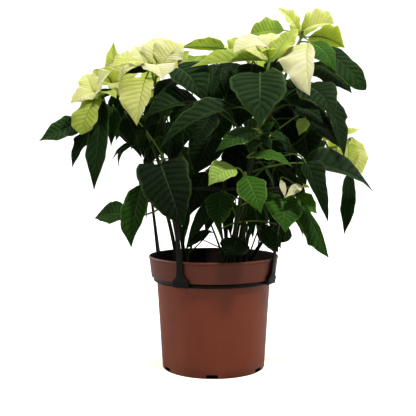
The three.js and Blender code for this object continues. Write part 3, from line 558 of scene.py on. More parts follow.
def rib_directions(blade, s):
    _, chord, normal, _ = blade_frame(blade)
    s = np.asarray(s, float)[:, None]
    heading = chord + normal * blade["arch"] * 4 * (1 - 2 * s)
    return heading / np.linalg.norm(heading, axis=1)[:, None]


EDGE_HALF = 0.42  # half the height of the solid leaf's edge at its tip
CLOSE_ENOUGH = 0.12


def found_place(blade, solid_points):
    for turn, lift in NUDGES:
        tried = turned(blade, turn, lift)
        side = blade_frame(tried)[3]
        up = np.cross(side, rib_directions(tried, [1])[0]) * EDGE_HALF
        corners = (tried["tip"] + up, tried["tip"] - up)
        misses = [np.linalg.norm(solid_points - corner, axis=1).min() for corner in corners]
        if max(misses) < CLOSE_ENOUGH:
            return tried
    return None


def solid_points(node):
    return read_points(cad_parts[node]) / MM


grown = {f"stem_{i + 1:02d}": [] for i in range(len(STEMS))}
grown.update({f"bloom_{i + 1:02d}": [] for i in range(len(BLOOMS))})
wanted = []
for i, stem in enumerate(STEMS):
    wanted += [(f"stem_{i + 1:02d}", listed_leaf(stem, entry)) for entry in stem["leaves"]]
for i, bloom in enumerate(BLOOMS):
    stem = STEMS[bloom["stem"] - 1]
    wanted += [(f"bloom_{i + 1:02d}", listed_bract(stem, entry)) for entry in bloom["bracts"]]
for run in FOLIAGE:
    stem = STEMS[run[0] - 1]
    wanted += [(f"stem_{run[0]:02d}", foliage_leaf(stem, run, n)) for n in range(run[3])]
for node, blade in wanted:
    placed = found_place(blade, solid_points(node))
    if placed is not None:
        grown[node].append(placed)
print("blades listed:", len(wanted), "found in the frame:", sum(map(len, grown.values())))

# %% [markdown]
# The solids are plain, so some of their blades are symmetrical where the grown one is
# not. Here each such blade is touched up one by one. What has to look right is the view
# through the camera, so a new base or tip is given by its column and row in a render 416
# pixels wide and by its depth in millimetres behind the middle of the pot; the helper
# turns that into a place. The two halves of a blade can get their own share of its width,
# first the half that lies to the right when the tip points down, then the other, and even
# an outline each. Pulling the points about with the mouse would work as well, but a list
# says what was changed and can be changed again.

# %% Touches to single blades
RENDER_SIZE = 416
FOCAL_PIXELS = view.lens / view.sensor_width * RENDER_SIZE
CAMERA_PLACE = np.array(camera.location) / MM
CAMERA_TURN = np.array(camera.rotation_euler.to_matrix())


def seen_at(column, row, y):
    """The point in millimetres that a render shows there and that lies at depth y."""
    middle = RENDER_SIZE / 2
    across, upwards = (column - middle) / FOCAL_PIXELS, (middle - row) / FOCAL_PIXELS
    ray = CAMERA_TURN @ np.array((across, upwards, -1))
    return CAMERA_PLACE + ray * (y - CAMERA_PLACE[1]) / ray[1]


TOUCHES = {
    ("bloom_01", 1): dict(base=(299, 32, 5), width=20, shares=(1.4, 1.15)),
    ("bloom_01", 2): dict(base=(302, 31, 5), tip=(334, 24, -10), width=44, height=25,
        shares=(1.0, 0.42), halves=("round", "bract")),
    ("bloom_01", 3): dict(tip=(345, 48, 34), width=46),
    ("bloom_01", 4): dict(shares=(0.5, 1.0), halves=("bract", "round"), tone=0.2),
    ("bloom_01", 5): dict(base=(309, 43, -26), tip=(310, 96, -94), width=46, azimuth=-23,
        shares=(0.42, 1.86), halves=("bract", "kite")),
    ("bloom_02", 2): dict(base=(268, 49, -56), tip=(234, 53, -96), width=34, azimuth=-5,
        height=35, shares=(0.3, 1.0), halves=("bract", "round"), tone=1.0),
    ("bloom_02", 3): dict(base=(262, 60, -54), tip=(191, 67, -82), width=40, shares=(0.2, 0.9),
        height=35),
    ("bloom_02", 4): dict(tip=(241, 35, -4)),
    ("bloom_02", 5): dict(tip=(271, 33, 8), width=38),
    ("bloom_02", 6): dict(tip=(262, 52, -100), width=26),
    ("bloom_03", 1): dict(base=(156, 66, -34), tip=(163, 37, 8), width=44, shares=(1.0, 1.2)),
    ("bloom_03", 2): dict(base=(161, 66, -36), tip=(184, 43, -20), width=36, shares=(1.4, 1.0)),
    ("bloom_03", 3): dict(base=(155, 66, -46), tip=(163, 80, -88), width=42),
    ("bloom_03", 7): dict(base=(146, 78, -76), tip=(137, 126, -100), width=42, shares=(0.6, 1.4),
        outline="broad", tone=0.66),
    ("bloom_04", 1): dict(width=21, shares=(1.2, 0.8)),
    ("bloom_04", 3): dict(base=(121, 84, 24), tip=(128, 50, 40), width=50),
    ("bloom_04", 5): dict(base=(115, 84, 12), tip=(119, 97, -30), width=22),
    ("bloom_05", 1): dict(base=(97, 92, -60), tip=(70, 104, -80), width=44, azimuth=-20,
        height=30, shares=(0.6, 0.56)),
    ("bloom_05", 3): dict(width=30),
    ("bloom_05", 2): dict(base=(99, 94, -64), tip=(81, 135, -86), width=30, outline="blunt",
        shares=(1.0, 1.2), tone=0.36),
    ("bloom_05", 4): dict(height=35, azimuth=0),
    ("bloom_05", 5): dict(width=20, tone=0.35),
    ("bloom_06", 1): dict(base=(353, 138, 52), tip=(358, 180, 44), width=34, shares=(0.85, 1.0)),
    ("bloom_06", 3): dict(base=(343, 134, 80), tip=(359, 130, 84), width=13, azimuth=0,
        height=40),
    ("bloom_07", 1): dict(base=(224, 48, 56), tip=(180, 48, 34), width=38, height=25,
        outline="broad", shares=(0.66, 0.3)),
    ("bloom_07", 5): dict(base=(220, 63, 78), tip=(182, 63, 90), width=15, azimuth=-10,
        height=35, tone=0.2),
    ("bloom_10", 1): dict(base=(300, 186, -50), tip=(285, 198, -80), width=13, height=30,
        tone=1.0),
    ("stem_01", 1): dict(base=(317, 45, -6), tip=(366, 90, -30), width=39, azimuth=10, height=15,
        outline="round", shares=(0.8, 1.06)),
    ("stem_01", 2): dict(base=(311, 43, -14), tip=(336, 72, -38), width=34, height=20,
        shares=(1.0, 1.4), outline="broad", tone=0.5),
    ("stem_01", 4): dict(base=(325, 94, -20), tip=(344, 158, -48), width=38,
        shares=(1.12, 0.7)),
    ("stem_02", 1): dict(base=(260, 74, -84), shares=(0.84, 0.95), lobes=(1.7, 0.0)),
    ("stem_02", 2): dict(base=(200, 103, -56), tip=(141, 121, -94), width=58, height=25,
        shares=(0.3, 1.1)),
    ("stem_02", 4): dict(shares=(1.0, 0.4)),
    ("stem_03", 1): dict(base=(173, 67, -54), tip=(206, 105, -82), width=54, height=25,
        shares=(1.1, 0.74)),
    ("stem_05", 1): dict(base=(103, 101, -66), tip=(94, 191, -84), width=27,
        shares=(0.9, 1.0)),
    ("stem_05", 2): dict(base=(83, 123, -50), tip=(39, 141, -60), width=44, outline="plain",
        shares=(1.05, 1.0), tone=0.27),
    ("stem_05", 3): dict(width=20, shares=(0.8, 1.35)),
    ("stem_05", 4): dict(base=(113, 106, -56), tip=(111, 147, -64), width=20),
    ("stem_05", 5): dict(base=(134, 143, -50), tip=(112, 160, -58), arch=0.12),
    ("stem_05", 6): dict(tip=(119, 168, -50), arch=0.34),
    ("stem_06", 1): dict(base=(349, 172, 22), tip=(344, 235, 16), width=20, outline="long"),
    ("stem_06", 2): dict(tip=(292, 236, 24), width=32, outline="round"),
    ("stem_06", 4): dict(tip=(297, 209, 60), width=20),
    ("stem_07", 9): dict(tip=(197, 236, 20)),
    ("stem_08", 2): dict(width=30),
    ("stem_08", 4): dict(tip=(144, 196, 140), width=22),
    ("stem_10", 1): dict(tone=0.5),
    ("stem_10", 2): dict(shares=(1.0, 1.35), tone=0.86),
    ("stem_10", 3): dict(base=(281, 198, -46), tip=(285, 233, -84), tone=0.46),
    ("stem_11", 1): dict(base=(299, 201, -44), tip=(329, 258, -60), width=32,
        halves=("long", "lowtooth"), shares=(0.42, 1.1), tone=0.34),
    ("stem_11", 2): dict(tip=(317, 214, -44), shares=(0.75, 1.15)),
    ("stem_12", 1): dict(base=(237, 107, -88), tip=(160, 148, -108), width=50, height=30,
        shares=(0.2, 1.0)),
    ("stem_12", 2): dict(base=(304, 87, -58), tip=(335, 119, -104), halves=("broad", "oval"),
        shares=(0.84, 0.9)),
    ("stem_12", 4): dict(arch=0.08, shares=(1.0, 0.5)),
    ("stem_12", 5): dict(base=(306, 163, -84), tip=(328, 222, -94), width=36, outline="dart",
        shares=(1.12, 0.5), tone=0.1),
    ("stem_12", 6): dict(tone=0.5),
    ("stem_12", 7): dict(shares=(1.3, 1.0)),
    ("stem_13", 1): dict(base=(161, 164, -94), tip=(183, 226, -128), shares=(0.92, 1.0),
        lobes=(0.0, 1.1), halves=("corner", "corner"), tone=0.04),
    ("stem_13", 2): dict(base=(141, 185, -78), shares=(0.8, 1.0), halves=("lance", "long"),
        tone=0.33),
    ("stem_13", 3): dict(shares=(0.9, 1.05)),
}
for (node, number), touch in TOUCHES.items():
    blade = grown[node][number - 1]
    for key, value in touch.items():
        blade[key] = seen_at(*value) if key in ("base", "tip") else value
print("blades touched up:", len(TOUCHES))

# %% [markdown]
# A grown plant is denser than its solids. Four thin bracts and many small inner leaves are
# added, their bases and tips given in the same way; they close the gaps behind the big
# leaves. Side leaves follow a rule: the stem, the direction, the length and the places
# on the stem. Last come bare twigs, each with its place on the stem, its end, its radius
# and its tone, for the thin shoots that cross the gaps of a real plant.

# %% Leaves and twigs that are added
EXTRA_BRACTS = [
    (3, (146, 66, -34), (134, 46, 0), 24, 40, 0.9),
    (3, (168, 68, -36), (190, 51, -26), 24, 30, 0.45),
    (10, (281, 180, -60), (285, 198, -80), 8, 30, 1.0),
    (10, (296, 186, -24), (303, 188, -30), 6, 20, 0.6),
]
EXTRA_LEAVES = [
    (4, 0.70, (126, 92, 14), (108, 130, 4), 30, 20, "oval", 0.10),
    (3, 0.75, (160, 102, 8), (146, 130, 0), 28, 20, "oval", 0.06),
    (7, 0.40, (240, 146, 66), (230, 208, 56), 46, 25, "oval", 0.06),
    (7, 0.36, (222, 160, 74), (210, 218, 66), 40, 25, "oval", 0.06),
    (9, 0.40, (276, 146, 56), (286, 200, 48), 46, 25, "oval", 0.06),
    (9, 0.44, (262, 126, 62), (268, 182, 56), 42, 25, "oval", 0.06),
    (9, 0.62, (218, 70, 66), (212, 112, 58), 42, 25, "oval", 0.06),
    (1, 0.78, (298, 78, 24), (292, 118, 14), 34, 25, "oval", 0.08),
    (7, 0.10, (214, 202, 24), (205, 236, 16), 17, 10, "lance", 0.24),
    (9, 0.10, (233, 200, 14), (226, 234, 6), 15, 10, "lance", 0.30),
    (10, 0.12, (244, 205, -16), (236, 232, -22), 13, 10, "lance", 0.34),
    (6, 0.10, (256, 208, -4), (265, 238, -12), 17, 10, "lance", 0.24),
    (6, 0.12, (271, 214, 18), (286, 240, 12), 20, 15, "oval", 0.28),
    (3, 0.10, (188, 206, 10), (183, 246, 4), 10, 10, "lance", 0.16),
    (7, 0.78, (232, 63, 30), (228, 104, 20), 44, 20, "broad", 0.06),
    (2, 0.86, (252, 64, -22), (247, 104, -34), 40, 20, "broad", 0.08),
    (5, 0.62, (126, 114, -46), (143, 152, -50), 34, 20, "oval", 0.08),
    (3, 0.06, (208, 231, -14), (184, 251, -40), 15, 40, "lance", 0.16),
    (7, 0.08, (200, 232, 6), (215, 233, 6), 6, 40, "lance", 0.1),
    (11, 0.30, (267, 196, -2), (264, 228, -10), 20, 10, "oval", 0.24),
    (6, 0.10, (260, 224, -2), (276, 254, -14), 24, 10, "tooth", 0.2),
    (10, 0.30, (250, 204, -20), (253, 240, -26), 14, 10, "lance", 0.34),
    (7, 0.16, (228, 208, 10), (231, 238, 4), 12, 10, "lance", 0.26),
    (3, 0.92, (150, 70, -54), (123, 75, -62), 11, 40, "lance", 0.1),
    (12, 0.80, (305, 118, -40), (299, 136, -50), 17, 20, "oval", 0.9),
    (12, 0.84, (262, 136, -74), (272, 150, -84), 14, 30, "oval", 0.24),
    (12, 0.86, (271, 133, -70), (286, 142, -78), 13, 40, "oval", 0.30),
    (12, 0.88, (259, 140, -76), (246, 150, -84), 13, 40, "oval", 0.28),
    (12, 0.80, (277, 140, -66), (292, 148, -72), 18, 20, "oval", 0.16),
    (12, 0.90, (262, 134, -70), (252, 128, -76), 6, 40, "oval", 0.95),
    (12, 0.93, (264, 130, -68), (275, 122, -72), 12, 40, "oval", 0.40),
    (12, 0.92, (286, 99, -40), (334, 112, -48), 25, 30, "oval", 0.06),
]
SIDE_LEAVES = [
    (1, 80, 56, (0.44, 0.58, 0.70)),
    (2, 85, 50, (0.58, 0.74)),
    (6, 80, 46, (0.40, 0.52)),
    (7, 95, 56, (0.52, 0.74)),
    (9, 75, 60, (0.34, 0.48, 0.62, 0.76)),
    (12, 85, 48, (0.50, 0.70)),
    (3, -85, 52, (0.48, 0.62, 0.76)),
    (4, -80, 50, (0.42,)),
    (5, -85, 46, (0.42,)),
    (7, -95, 54, (0.60,)),
    (8, -75, 60, (0.48, 0.62)),
]
TWIGS = [
    (7, 0.0, (206, 214, 20), 1.3, 0.42),
    (7, 0.0, (218, 212, 30), 1.2, 0.34),
    (3, 0.0, (199, 216, 10), 1.5, 0.36),
    (1, 0.0, (226, 212, 10), 1.3, 0.42),
    (2, 0.0, (237, 205, 0), 1.3, 0.50),
    (9, 0.0, (220, 208, 20), 1.2, 0.30),
    (10, 0.05, (257, 208, -20), 1.2, 0.45),
    (12, 0.0, (252, 212, -10), 1.2, 0.40),
    (11, 0.08, (262, 222, -20), 1.0, 0.40),
    (12, 0.35, (221, 229, -46), 1.2, 0.72),
    (12, 0.35, (279, 225, -46), 1.1, 0.68),
    (3, 0.45, (137, 120, -60), 1.1, 0.75),
]

for number, base, tip, width, height, tone in EXTRA_BRACTS:
    stem = STEMS[BLOOMS[number - 1]["stem"] - 1]
    entry = (tuple(seen_at(*base)), tuple(seen_at(*tip)), width, 0, height, 0.08, 12, tone)
    grown[f"bloom_{number:02d}"].append(listed_bract(stem, entry))
for number, at, base, tip, width, height, outline, tone in EXTRA_LEAVES:
    stem = STEMS[number - 1]
    entry = (at, seen_at(*base), seen_at(*tip), width, 0, height, outline, 0.1, 10, tone)
    grown[f"stem_{number:02d}"].append(dict(listed_leaf(stem, entry), fine=False))
for number, turn, length, places in SIDE_LEAVES:
    for at in places:
        grown[f"stem_{number:02d}"].append(side_leaf(STEMS[number - 1], number, at, turn, length))
side_leaves = sum(len(row[3]) for row in SIDE_LEAVES)
print("added:", len(EXTRA_BRACTS), "bracts,", len(EXTRA_LEAVES), "inner leaves,", side_leaves,
      "side leaves and", len(TWIGS), "twigs")

# %% [markdown]
# The outline says how the half width grows and shrinks from base to tip. A leaf of a
# poinsettia is broad low down, sometimes with one or two coarse teeth, and drawn out to
# a fine tip. Each outline could be drawn as a flat shape and filled, but the fill would
# have no rows of points to fold and wave. So an outline only says how wide each row of the
# sheet is. Its points are joined by a smooth curve that never overshoots, except at a
# tooth (marked True), where the curve is allowed to turn a sharp corner.

# %% Outlines
OUTLINES = {
    "oval": [(0, 0.04), (0.05, 0.3), (0.14, 0.7), (0.34, 1), (0.6, 0.81), (0.85, 0.27),
             (0.94, 0.09), (1, 0)],
    "heart": [(0, 0.5), (0.12, 0.9), (0.3, 1), (0.58, 0.79), (0.84, 0.27), (0.94, 0.09), (1, 0)],
    "lance": [(0, 0.04), (0.04, 0.22), (0.13, 0.67), (0.32, 1), (0.56, 0.79), (0.82, 0.26),
              (0.93, 0.08), (1, 0)],
    "tooth": [(0, 0.04), (0.05, 0.3), (0.16, 0.75), (0.3, 0.89), (0.4, 1.02, True),
              (0.43, 0.85), (0.49, 0.73), (0.68, 0.59), (0.87, 0.22), (0.95, 0.07), (1, 0)],
    "bract": [(0, 0.05), (0.05, 0.26), (0.16, 0.64), (0.38, 1), (0.64, 0.83), (0.87, 0.27),
              (0.95, 0.09), (1, 0)],
    "broad": [(0, 0.3), (0.1, 0.86), (0.24, 1), (0.5, 0.9), (0.74, 0.5), (0.92, 0.14), (1, 0)],
    "blunt": [(0, 0.1), (0.12, 0.5), (0.4, 0.82), (0.68, 1), (0.84, 0.92), (0.94, 0.4), (1, 0)],
    "long": [(0, 0.1), (0.06, 0.45), (0.15, 0.8), (0.3, 0.95), (0.5, 1), (0.62, 0.97), (0.7, 0.8),
             (0.85, 0.38), (0.95, 0.1), (1, 0)],
    "round": [(0, 0.1), (0.1, 0.5), (0.28, 0.88), (0.5, 1), (0.72, 0.9), (0.88, 0.6), (0.96, 0.3),
              (1, 0)],
    "kite": [(0, 0.3), (0.05, 0.52), (0.15, 0.74), (0.33, 1, True), (0.45, 0.8), (0.6, 0.62),
             (0.77, 0.48), (0.9, 0.26), (1, 0)],
    "dart": [(0, 0.6), (0.06, 0.95), (0.15, 1), (0.35, 0.74), (0.6, 0.5), (0.8, 0.28), (0.93, 0.1),
             (1, 0)],
    "corner": [(0, 0.8), (0.04, 0.98), (0.12, 1.05), (0.3, 1.02), (0.55, 0.86), (0.82, 0.42),
               (0.94, 0.14), (1, 0)],
    "lowtooth": [(0, 0.1), (0.08, 0.5), (0.25, 0.85), (0.5, 0.9), (0.68, 1.05, True), (0.72, 0.8),
                 (0.85, 0.5), (0.95, 0.16), (1, 0)],
    "plain": [(0, 0.05), (0.06, 0.4), (0.22, 0.87), (0.38, 0.97), (0.5, 0.94), (0.8, 0.38),
              (0.93, 0.1), (1, 0)],
}


def half_widths(outline, s):
    table = OUTLINES[outline]
    x = np.array([row[0] for row in table])
    y = np.array([row[1] for row in table])
    corner = [len(row) > 2 for row in table]
    slopes = np.diff(y) / np.diff(x)
    before, after = np.zeros(len(x)), np.zeros(len(x))
    for i in range(len(x)):
        left = slopes[max(i - 1, 0)]
        right = slopes[min(i, len(slopes) - 1)]
        smooth = 2 * left * right / (left + right) if left * right > 0 else 0
        at_end = i in (0, len(x) - 1)
        before[i] = left if corner[i] or at_end else smooth
        after[i] = right if corner[i] or at_end else smooth
    k = np.clip(np.searchsorted(x, s, side="right") - 1, 0, len(slopes) - 1)
    h = x[k + 1] - x[k]
    t = (s - x[k]) / h
    return (y[k] * (1 + 2 * t) * (1 - t) ** 2 + after[k] * h * t * (1 - t) ** 2
            + y[k + 1] * t * t * (3 - 2 * t) + before[k + 1] * h * t * t * (t - 1))


for outline in OUTLINES:
    widest = half_widths(outline, np.linspace(0, 1, 101))
    print(outline, "widest at", int(widest.argmax()), "percent of its length")

# %% [markdown]
# Between its side veins a poinsettia leaf swells a little, like a quilt, while each vein
# lies in a soft groove. A bump in the material could show that too, but not at the edge
# of a leaf, where the light slides over real swellings. The same sum that places the veins
# is used twice: here for the relief of the sheet, and later, as shader nodes, for the
# colour of the veins, so that colour and relief always agree.

# %% Vein pattern
VEIN_PAIRS = 10.0
VEIN_SLOPE = 0.19
VEIN_CURL = 0.15
SIDE_OFFSET = 0.42


def vein_swell(q, s):
    a = np.abs(q)
    phase = (s - VEIN_SLOPE * a * (1 - VEIN_CURL * a)) * VEIN_PAIRS + SIDE_OFFSET * (q > 0)
    swell = np.abs(np.sin(np.pi * phase)) ** 0.8
    beside_rib = np.clip(a / 0.12, 0, 1)
    inside_edge = np.clip((1 - a) / 0.18, 0, 1)
    off_base, off_tip = np.clip(s / 0.08, 0, 1), np.clip((1 - s) / 0.15, 0, 1)
    return swell * beside_rib * inside_edge * (off_base * off_tip)


print("swell across the middle:", np.round(vein_swell(np.linspace(0, 1, 5), np.full(5, 0.5)), 2))

# %% [markdown]
# This step bends a flat sheet into a living blade. Sculpting each leaf would take days and
# cloth would hang them all alike, so the bending is a sum. Each point knows how far it is
# across (q) and along (s) and whether it is on the upper or under face. It is set out from
# the midrib by the outline, raised by the fold, drooped at the margin, and given the quilt
# of the veins and a slow wave along the edge. The blade is also turned a little about its
# midrib, as no two leaves hang quite alike, and lobes beside the stalk are swept back.

# %% Shaping a blade
LEAF_THICKNESS = 0.5
EDGE_THINNING = 0.45
EDGE_UNEVEN = 0.035
HEART_SWEEP = 0.34
LARGEST_TWIST = 9
RUFFLE = {"leaf": 0.06, "bract": 0.11}
QUILT = {"leaf": 0.028, "bract": 0.018}
BOX_LOW, BOX_HIGH = np.array(CAD_LOW), np.array(CAD_HIGH)


def blade_lines(blade):
    return blade.get("halves", (blade["outline"], blade["outline"]))


def half_width_at(blade, q, s, seed):
    """How far the margin lies from the midrib, a little uneven as in nature."""
    left = q > 0
    ends = np.clip(s * (1 - s) * 6, 0, 1)
    along = np.clip(s + 0.02 * (chance(seed, 1) - 0.5) * q * ends, 0, 1)
    right_line, left_line = blade_lines(blade)
    half = np.where(left, half_widths(left_line, along), half_widths(right_line, along))
    half = half * blade["width"] / 2
    uneven = np.sin(2 * math.pi * (2.6 * s + chance(seed, 8) + 0.4 * left))
    uneven = uneven + 0.5 * np.sin(2 * math.pi * (6.3 * s + chance(seed, 9) + 0.2 * left))
    right_share, left_share = blade.get("shares", (1, 1))
    return half * (1 + EDGE_UNEVEN * uneven * ends) * np.where(left, left_share, right_share)


def raised_by(blade, q, s, half, seed):
    """How far a point is lifted off the midrib by fold, droop, ruffle, quilt and twist."""
    a = np.abs(q)
    ends = np.clip(s * (1 - s) * 6, 0, 1)
    folded = math.sin(math.radians(blade["fold"])) * (np.sqrt(a * a + 0.012) - 0.11) * 1.06
    droop = (0.05 + 0.10 * chance(seed, 2)) * a ** 4
    waves = 2.0 + 1.5 * chance(seed, 3)
    beat = 2 * math.pi * (waves * s + chance(seed, 4) + 0.31 * (q > 0))
    ripple = RUFFLE[blade["kind"]] * (0.7 + 0.6 * chance(seed, 5))
    ripple = ripple * a ** 2.5 * np.sin(beat) * ends
    quilt = QUILT[blade["kind"]] * blade["width"] * vein_swell(q, s)
    quilt *= np.clip(half / (blade["width"] * 0.3), 0, 1)
    twist = math.radians(LARGEST_TWIST) * (chance(seed, 6) - 0.5) * 2 * np.sin(math.pi * s)
    return half * (folded - droop + ripple) + quilt + q * half * np.sin(twist)


def swept_back(blade, q, s):
    """How far the lobes beside the stalk reach back past it."""
    usual = (1, 1) if "heart" in blade_lines(blade) else (0, 0)
    right_lobe, left_lobe = blade.get("lobes", usual)
    reach = blade["width"] / 2 * HEART_SWEEP * np.clip(1 - s / 0.3, 0, 1) ** 2 * np.abs(q) ** 1.4
    return reach * np.where(q > 0, left_lobe, right_lobe)


def shape_blade(blade, name, seed):
    sheet = own_copy(FINE_SHEET if blade["fine"] else PLAIN_SHEET, name)
    flat = read_points(sheet)
    q = np.sign(flat[:, 0]) * np.abs(flat[:, 0]) ** 1.15
    s, face = np.clip(flat[:, 1], 0, 1), np.sign(flat[:, 2])
    side, heading = blade_frame(blade)[3], rib_directions(blade, s)
    up = np.cross(side, heading)
    half = half_width_at(blade, q, s, seed)
    out = q * half * math.cos(math.radians(blade["fold"]))
    lift = raised_by(blade, q, s, half, seed)
    points = rib_points(blade, s) + side * out[:, None] + up * lift[:, None]
    points -= heading * swept_back(blade, q, s)[:, None]
    thin = LEAF_THICKNESS / 2 * (1 - EDGE_THINNING * np.abs(q))
    points += up * (face * thin)[:, None]
    write_points(sheet, np.clip(points * MM, BOX_LOW, BOX_HIGH))
    write_attribute(sheet, "place", "FLOAT_VECTOR", np.stack([q, s, face], 1))
    write_attribute(sheet, "tone", "FLOAT", np.full(len(q), blade["tone"]))
    return sheet


print("thickness of a leaf:", LEAF_THICKNESS, "mm in the middle")

# %% [markdown]
# Stems, stalks and midribs are bars swept along a path. At every ring the bar needs two
# directions across the path; carrying the last ring's directions on to the next, and only
# straightening them up, keeps the bar from twisting like a wrung cloth.

# %% Sweeping a bar along a path
def carried_frames(path, first_side):
    heading = np.gradient(path, axis=0)
    heading /= np.linalg.norm(heading, axis=1)[:, None]
    sides = np.empty_like(path)
    side = first_side
    for i, ahead in enumerate(heading):
        side = unit(side - ahead * (side @ ahead))
        sides[i] = side
    return sides, np.cross(heading, sides)


def sweep_bar(bar, name, path, radii, tones, first_side):
    made = own_copy(bar, name)
    round_points = read_points(made)
    ring = np.rint(round_points[:, 2]).astype(int)
    ring = ring * (len(path) - 1) // ring.max()
    sides, others = carried_frames(path, first_side)
    radius = np.asarray(radii)[ring][:, None]
    points = path[ring] + sides[ring] * round_points[:, :1] * radius
    points += others[ring] * round_points[:, 1:2] * radius
    write_points(made, points * MM)
    write_attribute(made, "place", "FLOAT_VECTOR", np.zeros((len(points), 3)))
    write_attribute(made, "tone", "FLOAT", np.asarray(tones, float)[ring])
    return made


def bezier(start, pull, end, t):
    t = np.asarray(t, float)[:, None]
    return start * (1 - t) ** 2 + pull * 2 * t * (1 - t) + end * t * t


print("halfway up a curve:", bezier(np.zeros(3), UP, UP * 2, [0.5])[0])

# %% [markdown]
# A leaf hangs on its stalk, and the stalk runs on under the blade as the midrib, which
# stands out below and thins away to the tip. Pulling the rib out of the sheet itself would
# need many more points across the blade. So each leaf gets two bars: the stalk from the
# middle of the stem to the blade, and the rib sunk halfway into the under face.

# %% Stalk and midrib
STALK_RADII = {"leaf": (1.45, 1.0), "bract": (1.15, 0.85)}


def shape_stalk(blade, name, tone):
    heading = rib_directions(blade, [0])[0]
    reach = np.linalg.norm(blade["base"] - blade["root"])
    pull = blade["base"] - heading * 0.45 * reach
    t = np.linspace(0, 1, STALK_RINGS)
    path = bezier(blade["root"], pull, blade["base"] + heading * 0.8, t)
    foot, neck = STALK_RADII[blade["kind"]]
    slim = min(1.0, 0.55 + blade["width"] / 90)
    radii = slim * (neck + (foot - neck) * (1 - t) ** 2)
    side = blade_frame(blade)[3]
    first = side - heading * (side @ heading) + 0.001
    return sweep_bar(STALK_BAR, name, path, radii, np.full(STALK_RINGS, tone), first)


def shape_rib(blade, name, tone):
    t = np.linspace(0, 0.97, RIB_RINGS)
    side = blade_frame(blade)[3]
    up = np.cross(side, rib_directions(blade, t))
    size = min(1.0, 0.45 + blade["width"] / 90)
    radii = size * (0.95 * (1 - t) ** 0.8 + 0.12)
    sunk = (LEAF_THICKNESS / 2 + radii * 0.35)[:, None]
    path = rib_points(blade, t) - up * sunk
    return sweep_bar(RIB_BAR, name, path, radii, np.full(RIB_RINGS, tone), side)


print("stalk radii in mm, at the stem and at the blade:", STALK_RADII)

# %% [markdown]
# The stem itself is thickest and brownest at the soil, slims towards the top and swells
# slightly at each joint where a leaf leaves it. A hub that flares like a small trumpet
# ends each stem and carries the bracts, and thin bare twigs leave some stems low down.
# All three are bars too, because only their radii and paths differ.

# %% Stem
STEM_FOOT_RADIUS = 2.6
STEM_TOP_RADIUS = 1.75
STEM_DEPTH = 10
JOINT_SWELL, JOINT_LENGTH = 0.45, 0.016
HUB_RADIUS, HUB_FLARE = 2.1, 1.4
ANY_SIDE = np.array((1.0, 0.1, 0.0))


def shape_stem(stem, name, joints, top_tone):
    t = np.linspace(0, 1, STEM_RINGS - 1)
    above = np.array([stem_point(stem, u) for u in t])
    path = np.vstack([above[0] - UP * STEM_DEPTH, above])
    radii = STEM_FOOT_RADIUS + (STEM_TOP_RADIUS - STEM_FOOT_RADIUS) * t
    for at in joints:
        radii = radii + JOINT_SWELL * np.exp(-((t - at) / JOINT_LENGTH) ** 2)
    radii[-1] *= 0.96
    radii = np.concatenate([[STEM_FOOT_RADIUS], radii])
    tones = np.concatenate([[0], 0.03 + (top_tone - 0.03) * t ** 2 + (0.9 - top_tone) * t ** 9])
    return sweep_bar(STEM_BAR, name, path, radii, tones, np.array((1.0, 0.0, 0.0)))


def shape_hub(stem, name):
    rise = np.linspace(HUB_RISE, HUB_RISE + HUB_HEIGHT, STALK_RINGS)
    path = np.array(stem["top"], float) + head_direction(stem) * rise[:, None]
    radii = HUB_RADIUS + HUB_FLARE * np.linspace(0, 1, STALK_RINGS) ** 1.4
    radii[-1] *= 0.9
    return sweep_bar(STALK_BAR, name, path, radii, np.full(STALK_RINGS, 0.85), ANY_SIDE)


def shape_twig(stem, name, at, end, radius, tone):
    start = stem_point(stem, at)
    pull = (start + end) / 2 + UP * 0.12 * np.linalg.norm(end - start)
    path = bezier(start, pull, end, np.linspace(0, 1, STALK_RINGS))
    radii = np.linspace(1.2, 0.8, STALK_RINGS) * radius
    return sweep_bar(STALK_BAR, name, path, radii, np.full(STALK_RINGS, tone), ANY_SIDE)


print("stem radius in mm:", STEM_FOOT_RADIUS, "at the foot,", STEM_TOP_RADIUS, "at the top")

# %% [markdown]
# Before the plant is put together its finishes are made, so that each part can be given
# its material as it is shaped. Shader nodes can be wired by hand in the editor; written
# down they can be read from top to bottom. The first helper below adds a node, sets its
# options and plugs in either a number or another node's socket, and the rest build on it.

# %% Shader helpers
def node(tree, kind, inputs=None, **options):
    made = tree.nodes.new(kind)
    for key, value in options.items():
        setattr(made, key, value)
    for key, value in (inputs or {}).items():
        if isinstance(value, bpy.types.NodeSocket):
            tree.links.new(value, made.inputs[key])
        else:
            made.inputs[key].default_value = value
    return made


def maths(tree, operation, *values, clamp=False):
    inputs = dict(enumerate(values))
    return node(tree, "ShaderNodeMath", inputs, operation=operation, use_clamp=clamp).outputs[0]


def mix_colour(tree, share, first, second, blend="MIX"):
    made = node(tree, "ShaderNodeMix", {0: share, 6: first, 7: second}, data_type="RGBA",
                blend_type=blend)
    return made.outputs[2]


def ramp(tree, factor, stops):
    made = node(tree, "ShaderNodeValToRGB", {"Fac": factor})
    points = made.color_ramp.elements
    while len(points) < len(stops):
        points.new(0.5)
    for point, (place, colour) in zip(points, stops):
        point.position = place
        point.color = (*colour, 1)
    return made.outputs["Color"]


def rise(tree, value, start, end, low=0.0, high=1.0):
    """0 (or low) below start, 1 (or high) above end, smooth between."""
    return node(tree, "ShaderNodeMapRange", {0: value, 1: start, 2: end, 3: low, 4: high},
                interpolation_type="SMOOTHSTEP").outputs[0]


def fall(tree, value, start, end):
    """1 below start, 0 above end, smooth between."""
    return rise(tree, value, start, end, 1.0, 0.0)


def times(tree, first, second):
    return maths(tree, "MULTIPLY", first, second)


def more(tree, value, extra, share, clamp=False):
    """The value and a share of the extra; a negative share takes away."""
    return maths(tree, "ADD", value, times(tree, extra, share), clamp=clamp)


def about_zero(tree, value):
    return maths(tree, "SUBTRACT", value, 0.5)


def own_place(tree):
    return node(tree, "ShaderNodeTexCoord").outputs["Object"]


